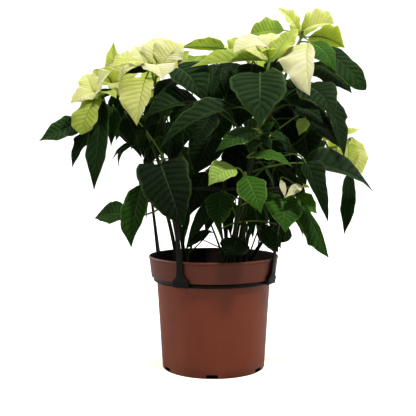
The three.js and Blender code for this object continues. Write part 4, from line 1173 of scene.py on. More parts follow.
def parts_of(tree, vector):
    return node(tree, "ShaderNodeSeparateXYZ", {0: vector}).outputs


def attribute(tree, name, output="Fac"):
    return node(tree, "ShaderNodeAttribute", attribute_name=name).outputs[output]


def noise(tree, where, scale, detail=3.0, roughness=0.55):
    inputs = {"Vector": where, "Scale": scale, "Detail": detail, "Roughness": roughness}
    return node(tree, "ShaderNodeTexNoise", inputs).outputs["Fac"]


print("node helpers ready")

# %% [markdown]
# The last helpers make whole things: a node group, a material with its shader, and the
# three plugs that nearly every finish fills. The nodes of a group could be copied into
# each material instead, but then every change would have to be made in each of them.

# %% Groups and materials
def new_group(name, inputs, outputs):
    """Inputs, each with its usual value, and outputs are all plain numbers."""
    group = bpy.data.node_groups.new(name, "ShaderNodeTree")
    kind = "NodeSocketFloat"
    for label, value in inputs.items():
        socket = group.interface.new_socket(label, in_out="INPUT", socket_type=kind)
        socket.default_value = value
    for label in outputs:
        group.interface.new_socket(label, in_out="OUTPUT", socket_type=kind)
    given = group.nodes.new("NodeGroupInput").outputs
    return group, given, group.nodes.new("NodeGroupOutput").inputs


def new_material(name, **constants):
    material = bpy.data.materials.new(name)
    material.use_nodes = True
    tree = material.node_tree
    shader = tree.nodes["Principled BSDF"]
    shader.inputs["Subsurface Radius"].default_value = (0.75, 1.0, 0.3)
    for key, value in constants.items():
        shader.inputs[key.replace("_", " ")].default_value = value
    return material, tree, shader


def plug_in(tree, shader, colour, gloss, relief, strength, depth):
    """Colour, roughness and relief go into the shader; the relief's depth is in metres."""
    bump = node(tree, "ShaderNodeBump",
                {"Strength": strength, "Distance": depth, "Height": relief})
    tree.links.new(colour, shader.inputs["Base Color"])
    tree.links.new(gloss, shader.inputs["Roughness"])
    tree.links.new(bump.outputs[0], shader.inputs["Normal"])


print("group and material helpers ready")

# %% [markdown]
# Veins appear on leaves and on bracts, so they are a node group. It reads the place of a
# point on its blade and gives out six masks: the midrib, the side veins, the fine net
# between them, the margin, the under face, and the broad groove along each side vein. A
# painted picture would need a flat map of every blade; masks worked out from the place fit
# them all. Real veins wander, so the place is first pushed about by a slow noise.

# %% Vein group
VEIN_WANDER = 0.34
VEIN_WIDTH, RIB_WIDTH = 0.085, 0.048
veins, given, made = new_group(
    "blade_veins",
    {"Pairs": VEIN_PAIRS, "Net Size": 420.0},
    ("Midrib", "Side Veins", "Net", "Margin", "Under", "Groove"),
)
place = parts_of(veins, attribute(veins, "place", "Vector"))
here = own_place(veins)
wander = about_zero(veins, noise(veins, here, 70.0, 2.0))
across = maths(veins, "ABSOLUTE", place[0])
curl = more(veins, 1.0, across, -VEIN_CURL)
back = times(veins, times(veins, across, VEIN_SLOPE), curl)
along = maths(veins, "SUBTRACT", place[1], back)
stagger = times(veins, maths(veins, "GREATER_THAN", place[0], 0.0), SIDE_OFFSET)
phase = more(veins, more(veins, stagger, along, given["Pairs"]), wander, VEIN_WANDER)
turn = maths(veins, "FRACT", maths(veins, "ADD", phase, 10.0))
gap = maths(veins, "SUBTRACT", 0.5, maths(veins, "ABSOLUTE", about_zero(veins, turn)))
slim = more(veins, VEIN_WIDTH, across, -0.04)
side_vein = fall(veins, maths(veins, "DIVIDE", gap, slim), 0.25, 1.0)
rib_width = more(veins, RIB_WIDTH, place[1], -0.03)
cells = node(veins, "ShaderNodeTexVoronoi", {"Vector": here, "Scale": given["Net Size"]},
             feature="DISTANCE_TO_EDGE").outputs["Distance"]
masks = {
    "Midrib": fall(veins, maths(veins, "DIVIDE", across, rib_width), 0.35, 1.0),
    "Side Veins": times(veins, side_vein, fall(veins, across, 0.72, 1.0)),
    "Net": fall(veins, cells, 0.0, 0.11),
    "Margin": maths(veins, "SUBTRACT", 1.0, fall(veins, across, 0.86, 1.0)),
    "Under": maths(veins, "LESS_THAN", place[2], 0.0),
    "Groove": times(veins, fall(veins, gap, 0.02, 0.36), fall(veins, across, 0.8, 1.0)),
}
for label, mask in masks.items():
    veins.links.new(mask, made[label])
print("vein group sockets:", [item.name for item in veins.interface.items_tree])

# %% [markdown]
# A green leaf is dark and satiny above, with the veins a shade paler and the midrib
# nearly yellow at its base, and dull grey-green below. Its tone attribute runs from the
# dark of an old leaf to the yellow-green of a young one. One flat green would look like
# paper, so slow noise breaks the colour up, and the veins and their net press a fine
# relief into the gloss. Shade is painted into the grooves along the side veins and light
# onto the swellings between them, most strongly on dark leaves.

# %% Leaf finish
leaf_finish, tree, shader = new_material("leaf", Specular_IOR_Level=0.08, Subsurface_Weight=0.35,
                                         Subsurface_Scale=0.0015)
masks = node(tree, "ShaderNodeGroup", node_tree=veins).outputs
here = own_place(tree)
cloud = noise(tree, here, 38.0, 4.0, 0.6)
speckle = noise(tree, here, 420.0, 2.0)
tone = more(tree, attribute(tree, "tone"), about_zero(tree, cloud), 0.16)
body = ramp(tree, tone, [(0.0, (0.004, 0.009, 0.003)), (0.2, (0.014, 0.032, 0.009)),
                         (0.45, (0.027, 0.080, 0.010)), (0.7, (0.085, 0.21, 0.018)),
                         (1.0, (0.46, 0.55, 0.16))])
vein_colour = ramp(tree, tone, [(0.0, (0.018, 0.042, 0.014)), (0.3, (0.050, 0.105, 0.025)),
                                (0.7, (0.20, 0.37, 0.07)), (1.0, (0.47, 0.56, 0.18))])
rib_colour = ramp(tree, tone, [(0.0, (0.045, 0.080, 0.028)), (0.3, (0.10, 0.16, 0.045)),
                               (0.6, (0.24, 0.34, 0.08)), (1.0, (0.55, 0.60, 0.22))])
colour = mix_colour(tree, times(tree, masks["Side Veins"], 0.3), body, vein_colour)
colour = mix_colour(tree, times(tree, masks["Net"], 0.16), colour, vein_colour)
# Painted shade and light: the colour is darkened in the grooves along the side veins and lightened
# on the swellings between them, more on dark leaves.
strength = node(tree, "ShaderNodeMapRange",
                {0: tone, 1: 0.2, 2: 0.6, 3: 0.52, 4: 0.22}).outputs[0]
deep = maths(tree, "SUBTRACT", more(tree, 1.0, strength, 0.35),
             times(tree, masks["Groove"], strength))
colour = mix_colour(tree, 1.0, colour, deep, "MULTIPLY")
colour = mix_colour(tree, times(tree, masks["Margin"], 0.5), colour, rib_colour)
colour = mix_colour(tree, times(tree, masks["Midrib"], 0.85), colour, rib_colour)
dull = mix_colour(tree, 0.5, colour, (0.055, 0.085, 0.035, 1))
colour = mix_colour(tree, masks["Under"], colour, dull)
colour = mix_colour(tree, 1.0, colour, more(tree, 0.84, speckle, 0.32), "MULTIPLY")
gloss = more(tree, more(tree, 0.42, cloud, 0.22), masks["Under"], 0.2)
relief = more(tree, times(tree, masks["Side Veins"], -1.0), masks["Net"], -0.35)
relief = more(tree, relief, masks["Midrib"], -1.4)
plug_in(tree, shader, colour, gloss, relief, 1.0, 0.0004)
print("leaf finish:", len(tree.nodes), "nodes")

# %% [markdown]
# A bract is thinner and softer than a leaf. Its colour drains from lime through butter
# yellow to cream-white, and it drains last along the veins and round the base, so those
# stay greener. Making it partly see-through would show the stalks behind. Instead a
# little light goes into the tissue and comes out again, which Blender calls subsurface;
# it takes the hardness out of the shading.

# %% Bract finish
bract_finish, tree, shader = new_material("bract", Specular_IOR_Level=0.15, Subsurface_Weight=1.0,
                                          Subsurface_Scale=0.002,
                                          Subsurface_Radius=(0.9, 1.0, 0.5))
masks = node(tree, "ShaderNodeGroup", {"Net Size": 520.0}, node_tree=veins).outputs
here = own_place(tree)
cloud = noise(tree, here, 45.0, 4.0, 0.6)
speckle = noise(tree, here, 600.0, 2.0)
along = parts_of(tree, attribute(tree, "place", "Vector"))[1]
base_green = times(tree, fall(tree, along, 0.0, 0.4), 0.22)
tone = more(tree, attribute(tree, "tone"), about_zero(tree, cloud), 0.5)
tone = maths(tree, "SUBTRACT", tone, base_green)
for label, share in (("Side Veins", 0.11), ("Groove", 0.08), ("Midrib", 0.3), ("Net", 0.06)):
    tone = more(tree, tone, masks[label], -share)
body = ramp(tree, tone, [(0.0, (0.12, 0.20, 0.026)), (0.25, (0.25, 0.32, 0.050)),
                         (0.5, (0.41, 0.44, 0.118)), (0.75, (0.54, 0.555, 0.24)),
                         (1.0, (0.55, 0.54, 0.355))])
under = mix_colour(tree, 0.4, body, (0.34, 0.38, 0.11, 1))
colour = mix_colour(tree, masks["Under"], body, under)
colour = mix_colour(tree, 1.0, colour, more(tree, 0.92, speckle, 0.16), "MULTIPLY")
relief = more(tree, times(tree, masks["Side Veins"], -1.0), masks["Net"], -0.3)
relief = more(tree, relief, masks["Midrib"], -1.2)
plug_in(tree, shader, colour, more(tree, 0.5, cloud, 0.2), relief, 0.6, 0.00025)
print("bract finish:", len(tree.nodes), "nodes")

# %% [markdown]
# Stems and stalks share one finish. The tone attribute runs from the brown, corky foot
# of the stem to the pale yellow-green of a young stalk. With a material for each age a
# border would show between them; an attribute lets the colour run on. Long thin streaks
# and small raised pores break it up.

# %% Stalk finish
stalk_finish, tree, shader = new_material("stalk", Specular_IOR_Level=0.2)
here = own_place(tree)
drawn_out = node(tree, "ShaderNodeMapping", {0: here, 3: (1.0, 1.0, 0.12)}).outputs[0]
streaks = noise(tree, drawn_out, 520.0, 3.0)
pores = node(tree, "ShaderNodeTexVoronoi", {"Vector": here, "Scale": 330.0}).outputs["Distance"]
pore = fall(tree, pores, 0.12, 0.3)
tone = more(tree, attribute(tree, "tone"), about_zero(tree, streaks), 0.22)
colour = ramp(tree, tone, [(0.0, (0.024, 0.022, 0.011)), (0.2, (0.026, 0.044, 0.011)),
                           (0.5, (0.070, 0.130, 0.022)), (0.8, (0.20, 0.30, 0.06)),
                           (1.0, (0.42, 0.48, 0.16))])
colour = mix_colour(tree, times(tree, pore, 0.25), colour, (0.16, 0.13, 0.07, 1))
gloss = more(tree, 0.42, streaks, 0.3)
plug_in(tree, shader, colour, gloss, more(tree, streaks, pore, 0.6), 0.5, 0.0002)
print("stalk finish:", len(tree.nodes), "nodes")

# %% [markdown]
# With the finishes ready the plant is put together. Each leafy stem is one piece: its
# stem, and for every leaf a blade, a stalk and a midrib, joined and then welded where
# points meet. Leaves could stay objects of their own, but a stem with its leaves is one
# living thing and takes the place of one plain solid.

# %% Leafy stems
ROOT = "root"


def triangle_count(thing):
    return sum(len(face.vertices) - 2 for face in thing.data.polygons)


def finish_with(part, material):
    part.data.materials.clear()
    part.data.materials.append(material)
    return part


def blade_parts(blade, name, seed, finish):
    leaf = blade["kind"] == "leaf"
    stalk_tone = 0.45 + 0.4 * blade["tone"] if leaf else 0.8
    rib_tone = 0.45 + 0.45 * blade["tone"] if leaf else 0.75
    return [
        finish_with(shape_blade(blade, name, seed), finish),
        finish_with(shape_stalk(blade, name + "_stalk", stalk_tone), stalk_finish),
        finish_with(shape_rib(blade, name + "_rib", rib_tone), stalk_finish),
    ]


OLD_STEM_TONE, YOUNG_STEM_TONE = 0.34, 0.95
YOUNG_STEMS = (4,)
triangles = 0
for i, stem in enumerate(STEMS):
    name = f"stem_{i + 1:02d}"
    blades = grown[name]
    top_tone = YOUNG_STEM_TONE if i + 1 in YOUNG_STEMS else OLD_STEM_TONE
    bar = shape_stem(stem, name + "_bar", [b["at"] for b in blades], top_tone)
    parts = [finish_with(bar, stalk_finish)]
    for n, blade in enumerate(blades):
        parts += blade_parts(blade, f"{name}_leaf_{n + 1}", 10 * i + n + 1, leaf_finish)
    for n, (_, at, end, radius, tone) in enumerate(row for row in TWIGS if row[0] == i + 1):
        twig = shape_twig(stem, f"{name}_twig_{n + 1}", at, seen_at(*end), radius, tone)
        parts.append(finish_with(twig, stalk_finish))
    piece = join_as(parts, f"leafy_{name}")
    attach(piece, ROOT)
    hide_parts(name)
    triangles += triangle_count(piece)
    print(piece.name, len(blades), "leaves", triangle_count(piece), "triangles")

# %% [markdown]
# A flower head is built the same way: a short flared hub on top of its stem, and the
# bracts round it. It is a piece apart from the stem, as its solid is, so that its colour
# and its shape can be changed without touching the leaves.

# %% Flower heads
for i, bloom in enumerate(BLOOMS):
    name = f"bloom_{i + 1:02d}"
    stem = STEMS[bloom["stem"] - 1]
    parts = [finish_with(shape_hub(stem, name + "_hub"), stalk_finish)]
    for n, blade in enumerate(grown[name]):
        parts += blade_parts(blade, f"{name}_bract_{n + 1}", 500 + 10 * i + n, bract_finish)
    piece = join_as(parts, f"flower_head_{i + 1:02d}")
    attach(piece, ROOT)
    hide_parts(name)
    triangles += triangle_count(piece)
    print(piece.name, len(grown[name]), "bracts", triangle_count(piece), "triangles")
print("leaves and bracts:", triangles, "triangles")

# %% [markdown]
# In the middle of each head sit the true flowers: a cluster of green cups like small
# barrels, each with a yellow gland at its side. Cup and gland could have a material each,
# but one tone attribute that runs from green to orange-yellow serves both, and lets the
# lips of the cups turn yellow as they ripen.

# %% Bud finish
bud_finish, tree, shader = new_material("bud", Specular_IOR_Level=0.5)
grain = noise(tree, own_place(tree), 900.0, 3.0)
tone = more(tree, attribute(tree, "tone"), grain, 0.2)
colour = ramp(tree, tone, [(0.0, (0.09, 0.17, 0.02)), (0.35, (0.20, 0.31, 0.04)),
                           (0.6, (0.40, 0.46, 0.08)), (0.85, (0.62, 0.44, 0.05)),
                           (1.0, (0.75, 0.50, 0.10))])
plug_in(tree, shader, colour, more(tree, 0.3, grain, 0.25), grain, 0.4, 0.0001)
print("bud finish:", len(tree.nodes), "nodes")

# %% [markdown]
# A bud is only a few millimetres across, so one is modelled and copied. It is a sphere cut
# level below its top; the cut is closed with a face, and two insets, the second pressed
# in, leave a lip round a small hollow. A cushion, six cups in a ring, a gland beside each
# cup and a taller cup in the middle are all this one bud, stretched and tipped.

# %% Bud clusters
clear_selection()
bpy.ops.mesh.primitive_uv_sphere_add(segments=12, ring_count=9, radius=1)
BUD = bpy.context.object
BUD.name = "bud"
bpy.ops.object.mode_set(mode="EDIT")
bpy.ops.mesh.select_all(action="SELECT")
bpy.ops.mesh.bisect(plane_co=(0, 0, 0.72), plane_no=(0, 0, 1), clear_outer=True)
bpy.ops.mesh.edge_face_add()
bpy.ops.mesh.inset(thickness=0.16, depth=0)
bpy.ops.mesh.inset(thickness=0.06, depth=-0.3)
bpy.ops.object.mode_set(mode="OBJECT")
print("one bud:", len(BUD.data.polygons), "faces")


def sides_of(axis):
    side = unit(np.cross(axis, (0.3, 1.0, 0.1)))
    return side, np.cross(axis, side)


def place_bud(name, centre, axis, radius, height, tones):
    made = own_copy(BUD, name)
    shape = read_points(made)
    side, other = sides_of(axis)
    points = centre + side * shape[:, :1] * radius + other * shape[:, 1:2] * radius
    points = points + axis * shape[:, 2:] * height
    write_points(made, points * MM)
    rise_share = (shape[:, 2] + 1) / 2
    write_attribute(made, "tone", "FLOAT", tones[0] + (tones[1] - tones[0]) * rise_share)
    return finish_with(made, bud_finish)


def bud_cluster(stem, number, cups=6):
    axis = head_direction(stem)
    foot = np.array(stem["top"], float) + axis * (2 * HUB_RISE + HUB_HEIGHT)
    side, other = sides_of(axis)
    parts = [place_bud("cushion", foot + axis * 0.9, axis, 2.7, 1.1, (0.1, 0.3))]
    for n in range(cups):
        a = 2 * math.pi * (n + 0.4 * chance(number, n)) / cups
        out = side * math.cos(a) + other * math.sin(a)
        tall = 1.5 + 0.5 * chance(number, n, 3)
        spot = foot + out * 1.75 + axis * (1.5 + tall)
        leaning = unit(axis + out * 0.25)
        parts.append(place_bud(f"bud_{n}", spot, leaning, 0.95, tall, (0.1, 0.55)))
        gland = spot + out * 0.72 + axis * tall * 0.35
        parts.append(place_bud(f"gland_{n}", gland, unit(out + axis), 0.42, 0.5, (0.8, 1.0)))
    parts.append(place_bud("middle_bud", foot + axis * 3.4, axis, 1.05, 2.0, (0.2, 0.65)))
    return parts


numbers = [i for i, bloom in enumerate(BLOOMS) if bloom.get("buds", True)]
for n, i in enumerate(numbers):
    parts = bud_cluster(STEMS[BLOOMS[i]["stem"] - 1], n + 1)
    piece = join_as(parts, f"flower_buds_{n + 1:02d}")
    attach(piece, ROOT)
    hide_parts(f"cyathia_{n + 1:02d}")
print("bud clusters:", len(numbers))

# %% [markdown]
# The pot is a thin moulded tub. It is raised like clay on a wheel: a circle is extruded
# upwards ring by ring, each ring scaled to its radius, over the rolled rim and down the
# inside to the floor. Spinning a drawn profile would give the same tub, but would leave a
# seam to weld.

# %% Pot
POT_SIDES = 144
POT_RINGS = [
    (66.6, 0.0), (67.2, 0.7), (68.2, 16.0), (70.2, 50.0), (72.4, 84.0), (74.7, 118.6),
    (75.2, 119.4), (80.6, 119.5), (81.5, 120.2), (82.2, 126.0), (83.0, 133.0), (83.9, 141.0),
    (84.2, 143.6), (84.9, 144.2), (85.0, 145.9), (84.6, 146.8), (83.9, 147.0), (83.2, 146.7),
    (82.9, 145.4), (82.5, 141.0), (80.4, 122.6), (79.6, 121.7), (73.6, 121.6), (73.0, 120.6),
    (70.6, 84.0), (68.4, 50.0), (66.4, 16.0), (65.6, 3.4), (64.6, 2.6),
]


def raise_rings(name, rings, sides):
    radius, height = rings[0]
    clear_selection()
    bpy.ops.mesh.primitive_circle_add(vertices=sides, radius=radius * MM, fill_type="NGON",
                                      location=(0, 0, 0))
    tub = bpy.context.object
    tub.name = name
    bpy.ops.object.mode_set(mode="EDIT")
    bpy.ops.mesh.select_all(action="SELECT")
    bpy.ops.transform.translate(value=(0, 0, height * MM))
    for (before, low), (after, high) in zip(rings, rings[1:]):
        rise = {"value": (0, 0, (high - low) * MM)}
        bpy.ops.mesh.extrude_region_move(TRANSFORM_OT_translate=rise)
        share = after / before
        bpy.ops.transform.resize(value=(share, share, 1), center_override=(0, 0, high * MM))
    face_outwards(tub)
    return tub


pot = raise_rings("nursery_pot", POT_RINGS, POT_SIDES)
print("pot wall:", len(pot.data.polygons), "faces")

# %% [markdown]
# A nursery pot drains through notches in its foot. Deleting faces there would leave ragged
# holes in a wall that has two sides. So six rounded blocks are set round the foot and cut
# away in one go with a Boolean, which closes the wall by itself, and a small bevel then
# catches the light on every corner.

# %% Drain notches
NOTCH = dict(count=6, width=14.5, height=5.0, depth=11.0, first=-2, middle=67.2 + 3)


def turned_about_z(points, degrees):
    a = math.radians(degrees)
    spin = np.array(((math.cos(a), -math.sin(a), 0), (math.sin(a), math.cos(a), 0), (0, 0, 1)))
    return points @ spin.T


def soften_edges(thing, width, segments, smooth_angle):
    bevel = thing.modifiers.new("soft edges", "BEVEL")
    bevel.width = width * MM
    bevel.segments = segments
    bevel.limit_method = "ANGLE"
    bevel.angle_limit = math.radians(50)
    pick(thing)
    bpy.ops.object.modifier_apply(modifier=bevel.name)
    bpy.ops.object.shade_smooth_by_angle(angle=math.radians(smooth_angle))


clear_selection()
bpy.ops.mesh.primitive_cube_add(size=1, location=(0, 0, 0))
block = bpy.context.object
bpy.ops.object.mode_set(mode="EDIT")
bpy.ops.mesh.select_all(action="SELECT")
size = (NOTCH["width"] * MM, NOTCH["depth"] * MM, 2 * NOTCH["height"] * MM)
bpy.ops.transform.resize(value=size, center_override=(0, 0, 0))
bpy.ops.mesh.bevel(offset=1.2 * MM, segments=3, affect="EDGES")
bpy.ops.object.mode_set(mode="OBJECT")
cutters = []
for n in range(NOTCH["count"]):
    cutter = own_copy(block, f"notch_{n + 1}")
    at_wall = read_points(cutter) - (0, (NOTCH["middle"] - NOTCH["depth"] / 2) * MM, 0)
    write_points(cutter, turned_about_z(at_wall, NOTCH["first"] + n * 360 / NOTCH["count"]))
    cutters.append(cutter)
bpy.data.objects.remove(block)
notches = join_as(cutters, "drain_notches")
pick(pot)
cut = pot.modifiers.new("drain notches", "BOOLEAN")
cut.operation = "DIFFERENCE"
cut.solver = "EXACT"
cut.object = notches
bpy.ops.object.modifier_apply(modifier=cut.name)
bpy.data.objects.remove(notches)
soften_edges(pot, 0.25, 2, 40)
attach(pot, ROOT)
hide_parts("pot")
print("pot:", len(pot.data.polygons), "faces")

# %% [markdown]
# Moulded plastic that has stood in a greenhouse carries dust in patches and fine scratches,
# and its skin has a slight grain. All three are wanted on the pot and on the support, so
# they form a group of their own. It gives out masks only, and each material decides what
# dust or a scratch does to its colour and its gloss.

# %% Wear group
wear, given, made = new_group("plastic_wear", {"Size": 60.0, "Amount": 0.5},
                              ("Dust", "Scratches", "Grain"))
here = own_place(wear)
patch = noise(wear, here, given["Size"], 6.0, 0.65)
dust = maths(wear, "SUBTRACT", 1.0, fall(wear, patch, 0.48, 0.72))
stretched = node(wear, "ShaderNodeMapping", {0: here, 2: (0.3, 0.5, 0.2), 3: (9.0, 9.0, 0.6)})
lines = noise(wear, stretched.outputs[0], 60.0, 2.0, 0.5)
scratch = fall(wear, maths(wear, "ABSOLUTE", about_zero(wear, lines)), 0.0, 0.012)
wear.links.new(times(wear, dust, given["Amount"]), made["Dust"])
wear.links.new(times(wear, scratch, given["Amount"]), made["Scratches"])
wear.links.new(noise(wear, here, 1500.0, 2.0), made["Grain"])
print("wear group sockets:", [item.name for item in wear.interface.items_tree])

# %% [markdown]
# The plastic of a nursery pot is thin, slightly uneven and satin. One red-brown would look
# like paint, so two close ones follow each other in faint clouds and in the vertical flow
# lines of the mould. Dust and scratches pale it, most of all near the foot. The collar is
# darkened by a painted shadow of the leaves above it, and the inside is painted nearly
# black as shade, as little light gets there. The outside and the inside could be two
# materials, but here one mask tells them apart: the distance from the middle of the pot,
# compared with the lean of the wall at that height.

# %% Pot finish
WALL_LEAN, COLLAR_LEAN = 0.063, 0.12
COLLAR_HEIGHT = 0.1195
WALL_MIDDLE = 0.0663


def from_axis(tree, spot):
    """The distance from the upright line through the middle of the pot."""
    return maths(tree, "SQRT", more(tree, times(tree, spot[0], spot[0]), spot[1], spot[1]))


pot_finish, tree, shader = new_material("pot_plastic", Specular_IOR_Level=0.55)
worn = node(tree, "ShaderNodeGroup", {"Size": 28.0, "Amount": 0.5}, node_tree=wear).outputs
here = own_place(tree)
spot = parts_of(tree, here)
drawn_out = node(tree, "ShaderNodeMapping", {0: here, 3: (1.0, 1.0, 0.08)}).outputs[0]
flow = noise(tree, drawn_out, 60.0, 4.0)
cloud = noise(tree, here, 14.0, 3.0)
shade = more(tree, times(tree, flow, 0.6), cloud, 0.4)
colour = ramp(tree, shade, [(0.3, (0.188, 0.037, 0.010)), (0.7, (0.224, 0.047, 0.014))])
scuff = times(tree, fall(tree, spot[2], 0.0, 0.02), worn["Dust"])
pale = more(tree, times(tree, worn["Dust"], 0.10), scuff, 0.5)
pale = more(tree, pale, worn["Scratches"], 0.12, clamp=True)
colour = mix_colour(tree, pale, colour, (0.33, 0.15, 0.09, 1))
in_collar = maths(tree, "GREATER_THAN", spot[2], COLLAR_HEIGHT)
slope = more(tree, WALL_LEAN, in_collar, COLLAR_LEAN - WALL_LEAN)
wall = maths(tree, "SUBTRACT", from_axis(tree, spot), times(tree, spot[2], slope))
inside = fall(tree, wall, WALL_MIDDLE - 0.0004, WALL_MIDDLE)
# Painted shadow: the collar is darkened halfway towards a deep brown, standing in for the shade
# that the leaves cast on it.
colour = mix_colour(tree, times(tree, in_collar, 0.5), colour,
                    (0.06, 0.014, 0.006, 1))
colour = mix_colour(tree, times(tree, inside, 0.94), colour,
                    (0.010, 0.004, 0.003, 1))
gloss = more(tree, more(tree, 0.28, worn["Dust"], 0.3), flow, 0.12)
gloss = more(tree, gloss, inside, 0.5, clamp=True)
relief = more(tree, times(tree, worn["Grain"], 0.25), flow, 0.6)
relief = more(tree, relief, worn["Scratches"], -0.5)
plug_in(tree, shader, colour, gloss, relief, 0.35, 0.0003)
finish_with(pot, pot_finish)
print("pot finish:", len(tree.nodes), "nodes")

# %% [markdown]
# The soil is a low crumbly mound. Its rings are raised and drawn in like the pot's, the
# surface is then pushed up and down by layered waves, and a few hundred loose crumbs of
# peat and white perlite grains, each a small faceted stone, are pressed into it. A
# Displace modifier could ruffle the mound, but never give it loose crumbs with a shadow
# of their own.

# %% Soil
SOIL_EDGE = 72.0
CRUMBS = 460
PERLITE_ABOVE = 0.93  # about one crumb in fourteen is white perlite


def soil_height(x, y):
    r = np.hypot(x, y)
    dome = 1.0 - (r / SOIL_EDGE) ** 2
    height = SOIL_SURFACE - 1.5 + 4.0 * dome
    for k in range(1, 15):
        a = 2 * math.pi * chance(k, 2)
        pitch = 4.5 + 30 * chance(k, 3) ** 2
        wave = (x * math.cos(a) + y * math.sin(a)) * 2 * math.pi / pitch + 6 * chance(k, 4)
        height = height + 0.016 * pitch * np.sin(wave) * np.cos(wave * 0.37 + k)
    return height


soil_rings = [(66.5, 4.0), (69.8, 80.0), (SOIL_EDGE, 118.0)]
soil_rings += [(SOIL_EDGE * (1 - n / 40), 120.0 + 0.01 * n) for n in range(1, 40)]
soil = raise_rings("potting_soil", soil_rings, 120)
points = read_points(soil) / MM
top = points[:, 2] > 119.0
points[top, 2] = np.minimum(soil_height(points[top, 0], points[top, 1]), 129)
write_points(soil, points * MM)
clear_selection()
bpy.ops.mesh.primitive_ico_sphere_add(subdivisions=1, radius=1)
CRUMB = bpy.context.object
crumbs = []
for n in range(CRUMBS):
    reach = 70.0 * math.sqrt(chance(n, 1))
    a = 2 * math.pi * chance(n, 2)
    x, y = reach * math.cos(a), reach * math.sin(a)
    perlite = chance(n, 5) > PERLITE_ABOVE
    size = 0.7 + 1.3 * chance(n, 3) ** 2
    crumb = own_copy(CRUMB, f"crumb_{n}")
    shape = read_points(crumb)
    wobble = 1 + 0.5 * np.sin(shape @ np.array((7.0, 5.0, 3.0)) + n)[:, None]
    shape = shape * wobble * size * (1.0, 0.8, 0.62)
    write_points(crumb, (shape + (x, y, soil_height(x, y) + 0.3 * size)) * MM)
    tone = 1.0 if perlite else 0.45 * chance(n, 6)
    write_attribute(crumb, "tone", "FLOAT", np.full(len(shape), tone))
    crumbs.append(crumb)
write_attribute(soil, "tone", "FLOAT", np.zeros(len(points)))
bpy.data.objects.remove(CRUMB)
soil = join_as([soil] + crumbs, "potting_soil", 30)
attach(soil, ROOT)
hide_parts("soil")
print("soil:", len(soil.data.polygons), "faces")

# %% [markdown]
# Potting soil is damp peat: nearly black, with brown crumbs and a few white grains of
# perlite. A fine noise gives it grit and a coarse one its damp and dry patches. The crumbs
# could have materials of their own, but the tone attribute does it in one: it browns a
# crumb a little, and at its highest it turns it perlite white.

# %% Soil finish
soil_finish, tree, shader = new_material("soil", Specular_IOR_Level=0.25)
here = own_place(tree)
grit = noise(tree, here, 700.0, 5.0, 0.7)
damp = noise(tree, here, 50.0, 3.0)
shade = more(tree, times(tree, grit, 0.6), damp, 0.4)
earth = ramp(tree, shade, [(0.3, (0.006, 0.003, 0.002)), (0.5, (0.018, 0.010, 0.006)),
                           (0.72, (0.05, 0.030, 0.018))])
tone = attribute(tree, "tone")
earth = mix_colour(tree, times(tree, tone, 0.5), earth, (0.075, 0.042, 0.022, 1))
colour = mix_colour(tree, maths(tree, "GREATER_THAN", tone, 0.9), earth, (0.55, 0.53, 0.48, 1))
plug_in(tree, shader, colour, more(tree, 0.75, damp, 0.2), grit, 0.9, 0.0008)
finish_with(soil, soil_finish)
print("soil finish:", len(tree.nodes), "nodes")

# %% [markdown]
# The support is moulded in near-black plastic: a band that grips the pot under its
# collar, a hoop round the stems and four uprights that lean out between them. A band is
# a tall thin ring with rounded corners. A flattened torus would have round sides, so it is
# raised from a circle like the pot, out over the top and back down inside, and its last
# ring is welded to its first.

# %% Support rings
def band(name, radius, width, low, high):
    inner, outer = radius - width / 2, radius + width / 2
    soft = min(width, high - low) * 0.22
    rings = [
        (inner + soft, low), (outer - soft, low), (outer, low + soft), (outer, high - soft),
        (outer - soft, high), (inner + soft, high), (inner, high - soft), (inner, low + soft),
        (inner + soft, low),
    ]
    ring = raise_rings(name, rings, 144)
    pick(ring)
    bpy.ops.object.mode_set(mode="EDIT")
    bpy.ops.mesh.select_all(action="DESELECT")
    bpy.ops.object.mode_set(mode="OBJECT")
    for polygon in ring.data.polygons:
        polygon.select = len(polygon.vertices) > 4
    bpy.ops.object.mode_set(mode="EDIT")
    bpy.ops.mesh.delete(type="ONLY_FACE")
    bpy.ops.mesh.select_all(action="SELECT")
    bpy.ops.mesh.remove_doubles(threshold=0.01 * MM)
    face_outwards(ring)
    bpy.ops.object.shade_smooth_by_angle(angle=math.radians(50))
    return ring


low_band = band("support_band", 76.9, 3.6, 114.2, 119.2)
top_hoop = band("support_hoop", 100.0, 3.2, 234.3, 237.7)
print("support rings:", len(low_band.data.polygons), "+", len(top_hoop.data.polygons), "faces")

# %% [markdown]
# An upright starts at a broad foot clipped over the band, passes outside the collar and
# narrows to a slim blade at the hoop. A cube scaled thin would stay straight, so it is a
# four-cornered bar with many rings, whose waist above the foot can curve. Each ring of the
# list below has its height, its inner and outer distance from the middle and its width,
# in millimetres, and a bevel rounds the long edges.

# %% Support uprights
UPRIGHT_ANGLES = (-29, 61, 151, -119)
UPRIGHT = np.array([
    (114.6, 78.8, 84.2, 19.0), (116.0, 78.8, 84.3, 22.0), (118.8, 78.8, 84.4, 23.0),
    (119.6, 82.0, 84.7, 23.0), (121.5, 82.3, 85.1, 23.0), (123.6, 82.7, 85.4, 21.5),
    (125.2, 83.0, 85.6, 16.0), (127.4, 83.3, 85.9, 12.0), (131.0, 83.8, 86.3, 10.2),
    (138.0, 84.7, 87.0, 8.6), (147.0, 85.8, 88.0, 7.6), (165.0, 88.3, 90.4, 6.2),
    (185.0, 91.2, 93.2, 5.0), (210.0, 95.0, 97.0, 4.0), (228.0, 97.9, 99.9, 3.6),
    (234.0, 98.8, 100.8, 3.6),
])
SQUARE_BAR = ringed_bar("square_bar", 4, len(UPRIGHT))


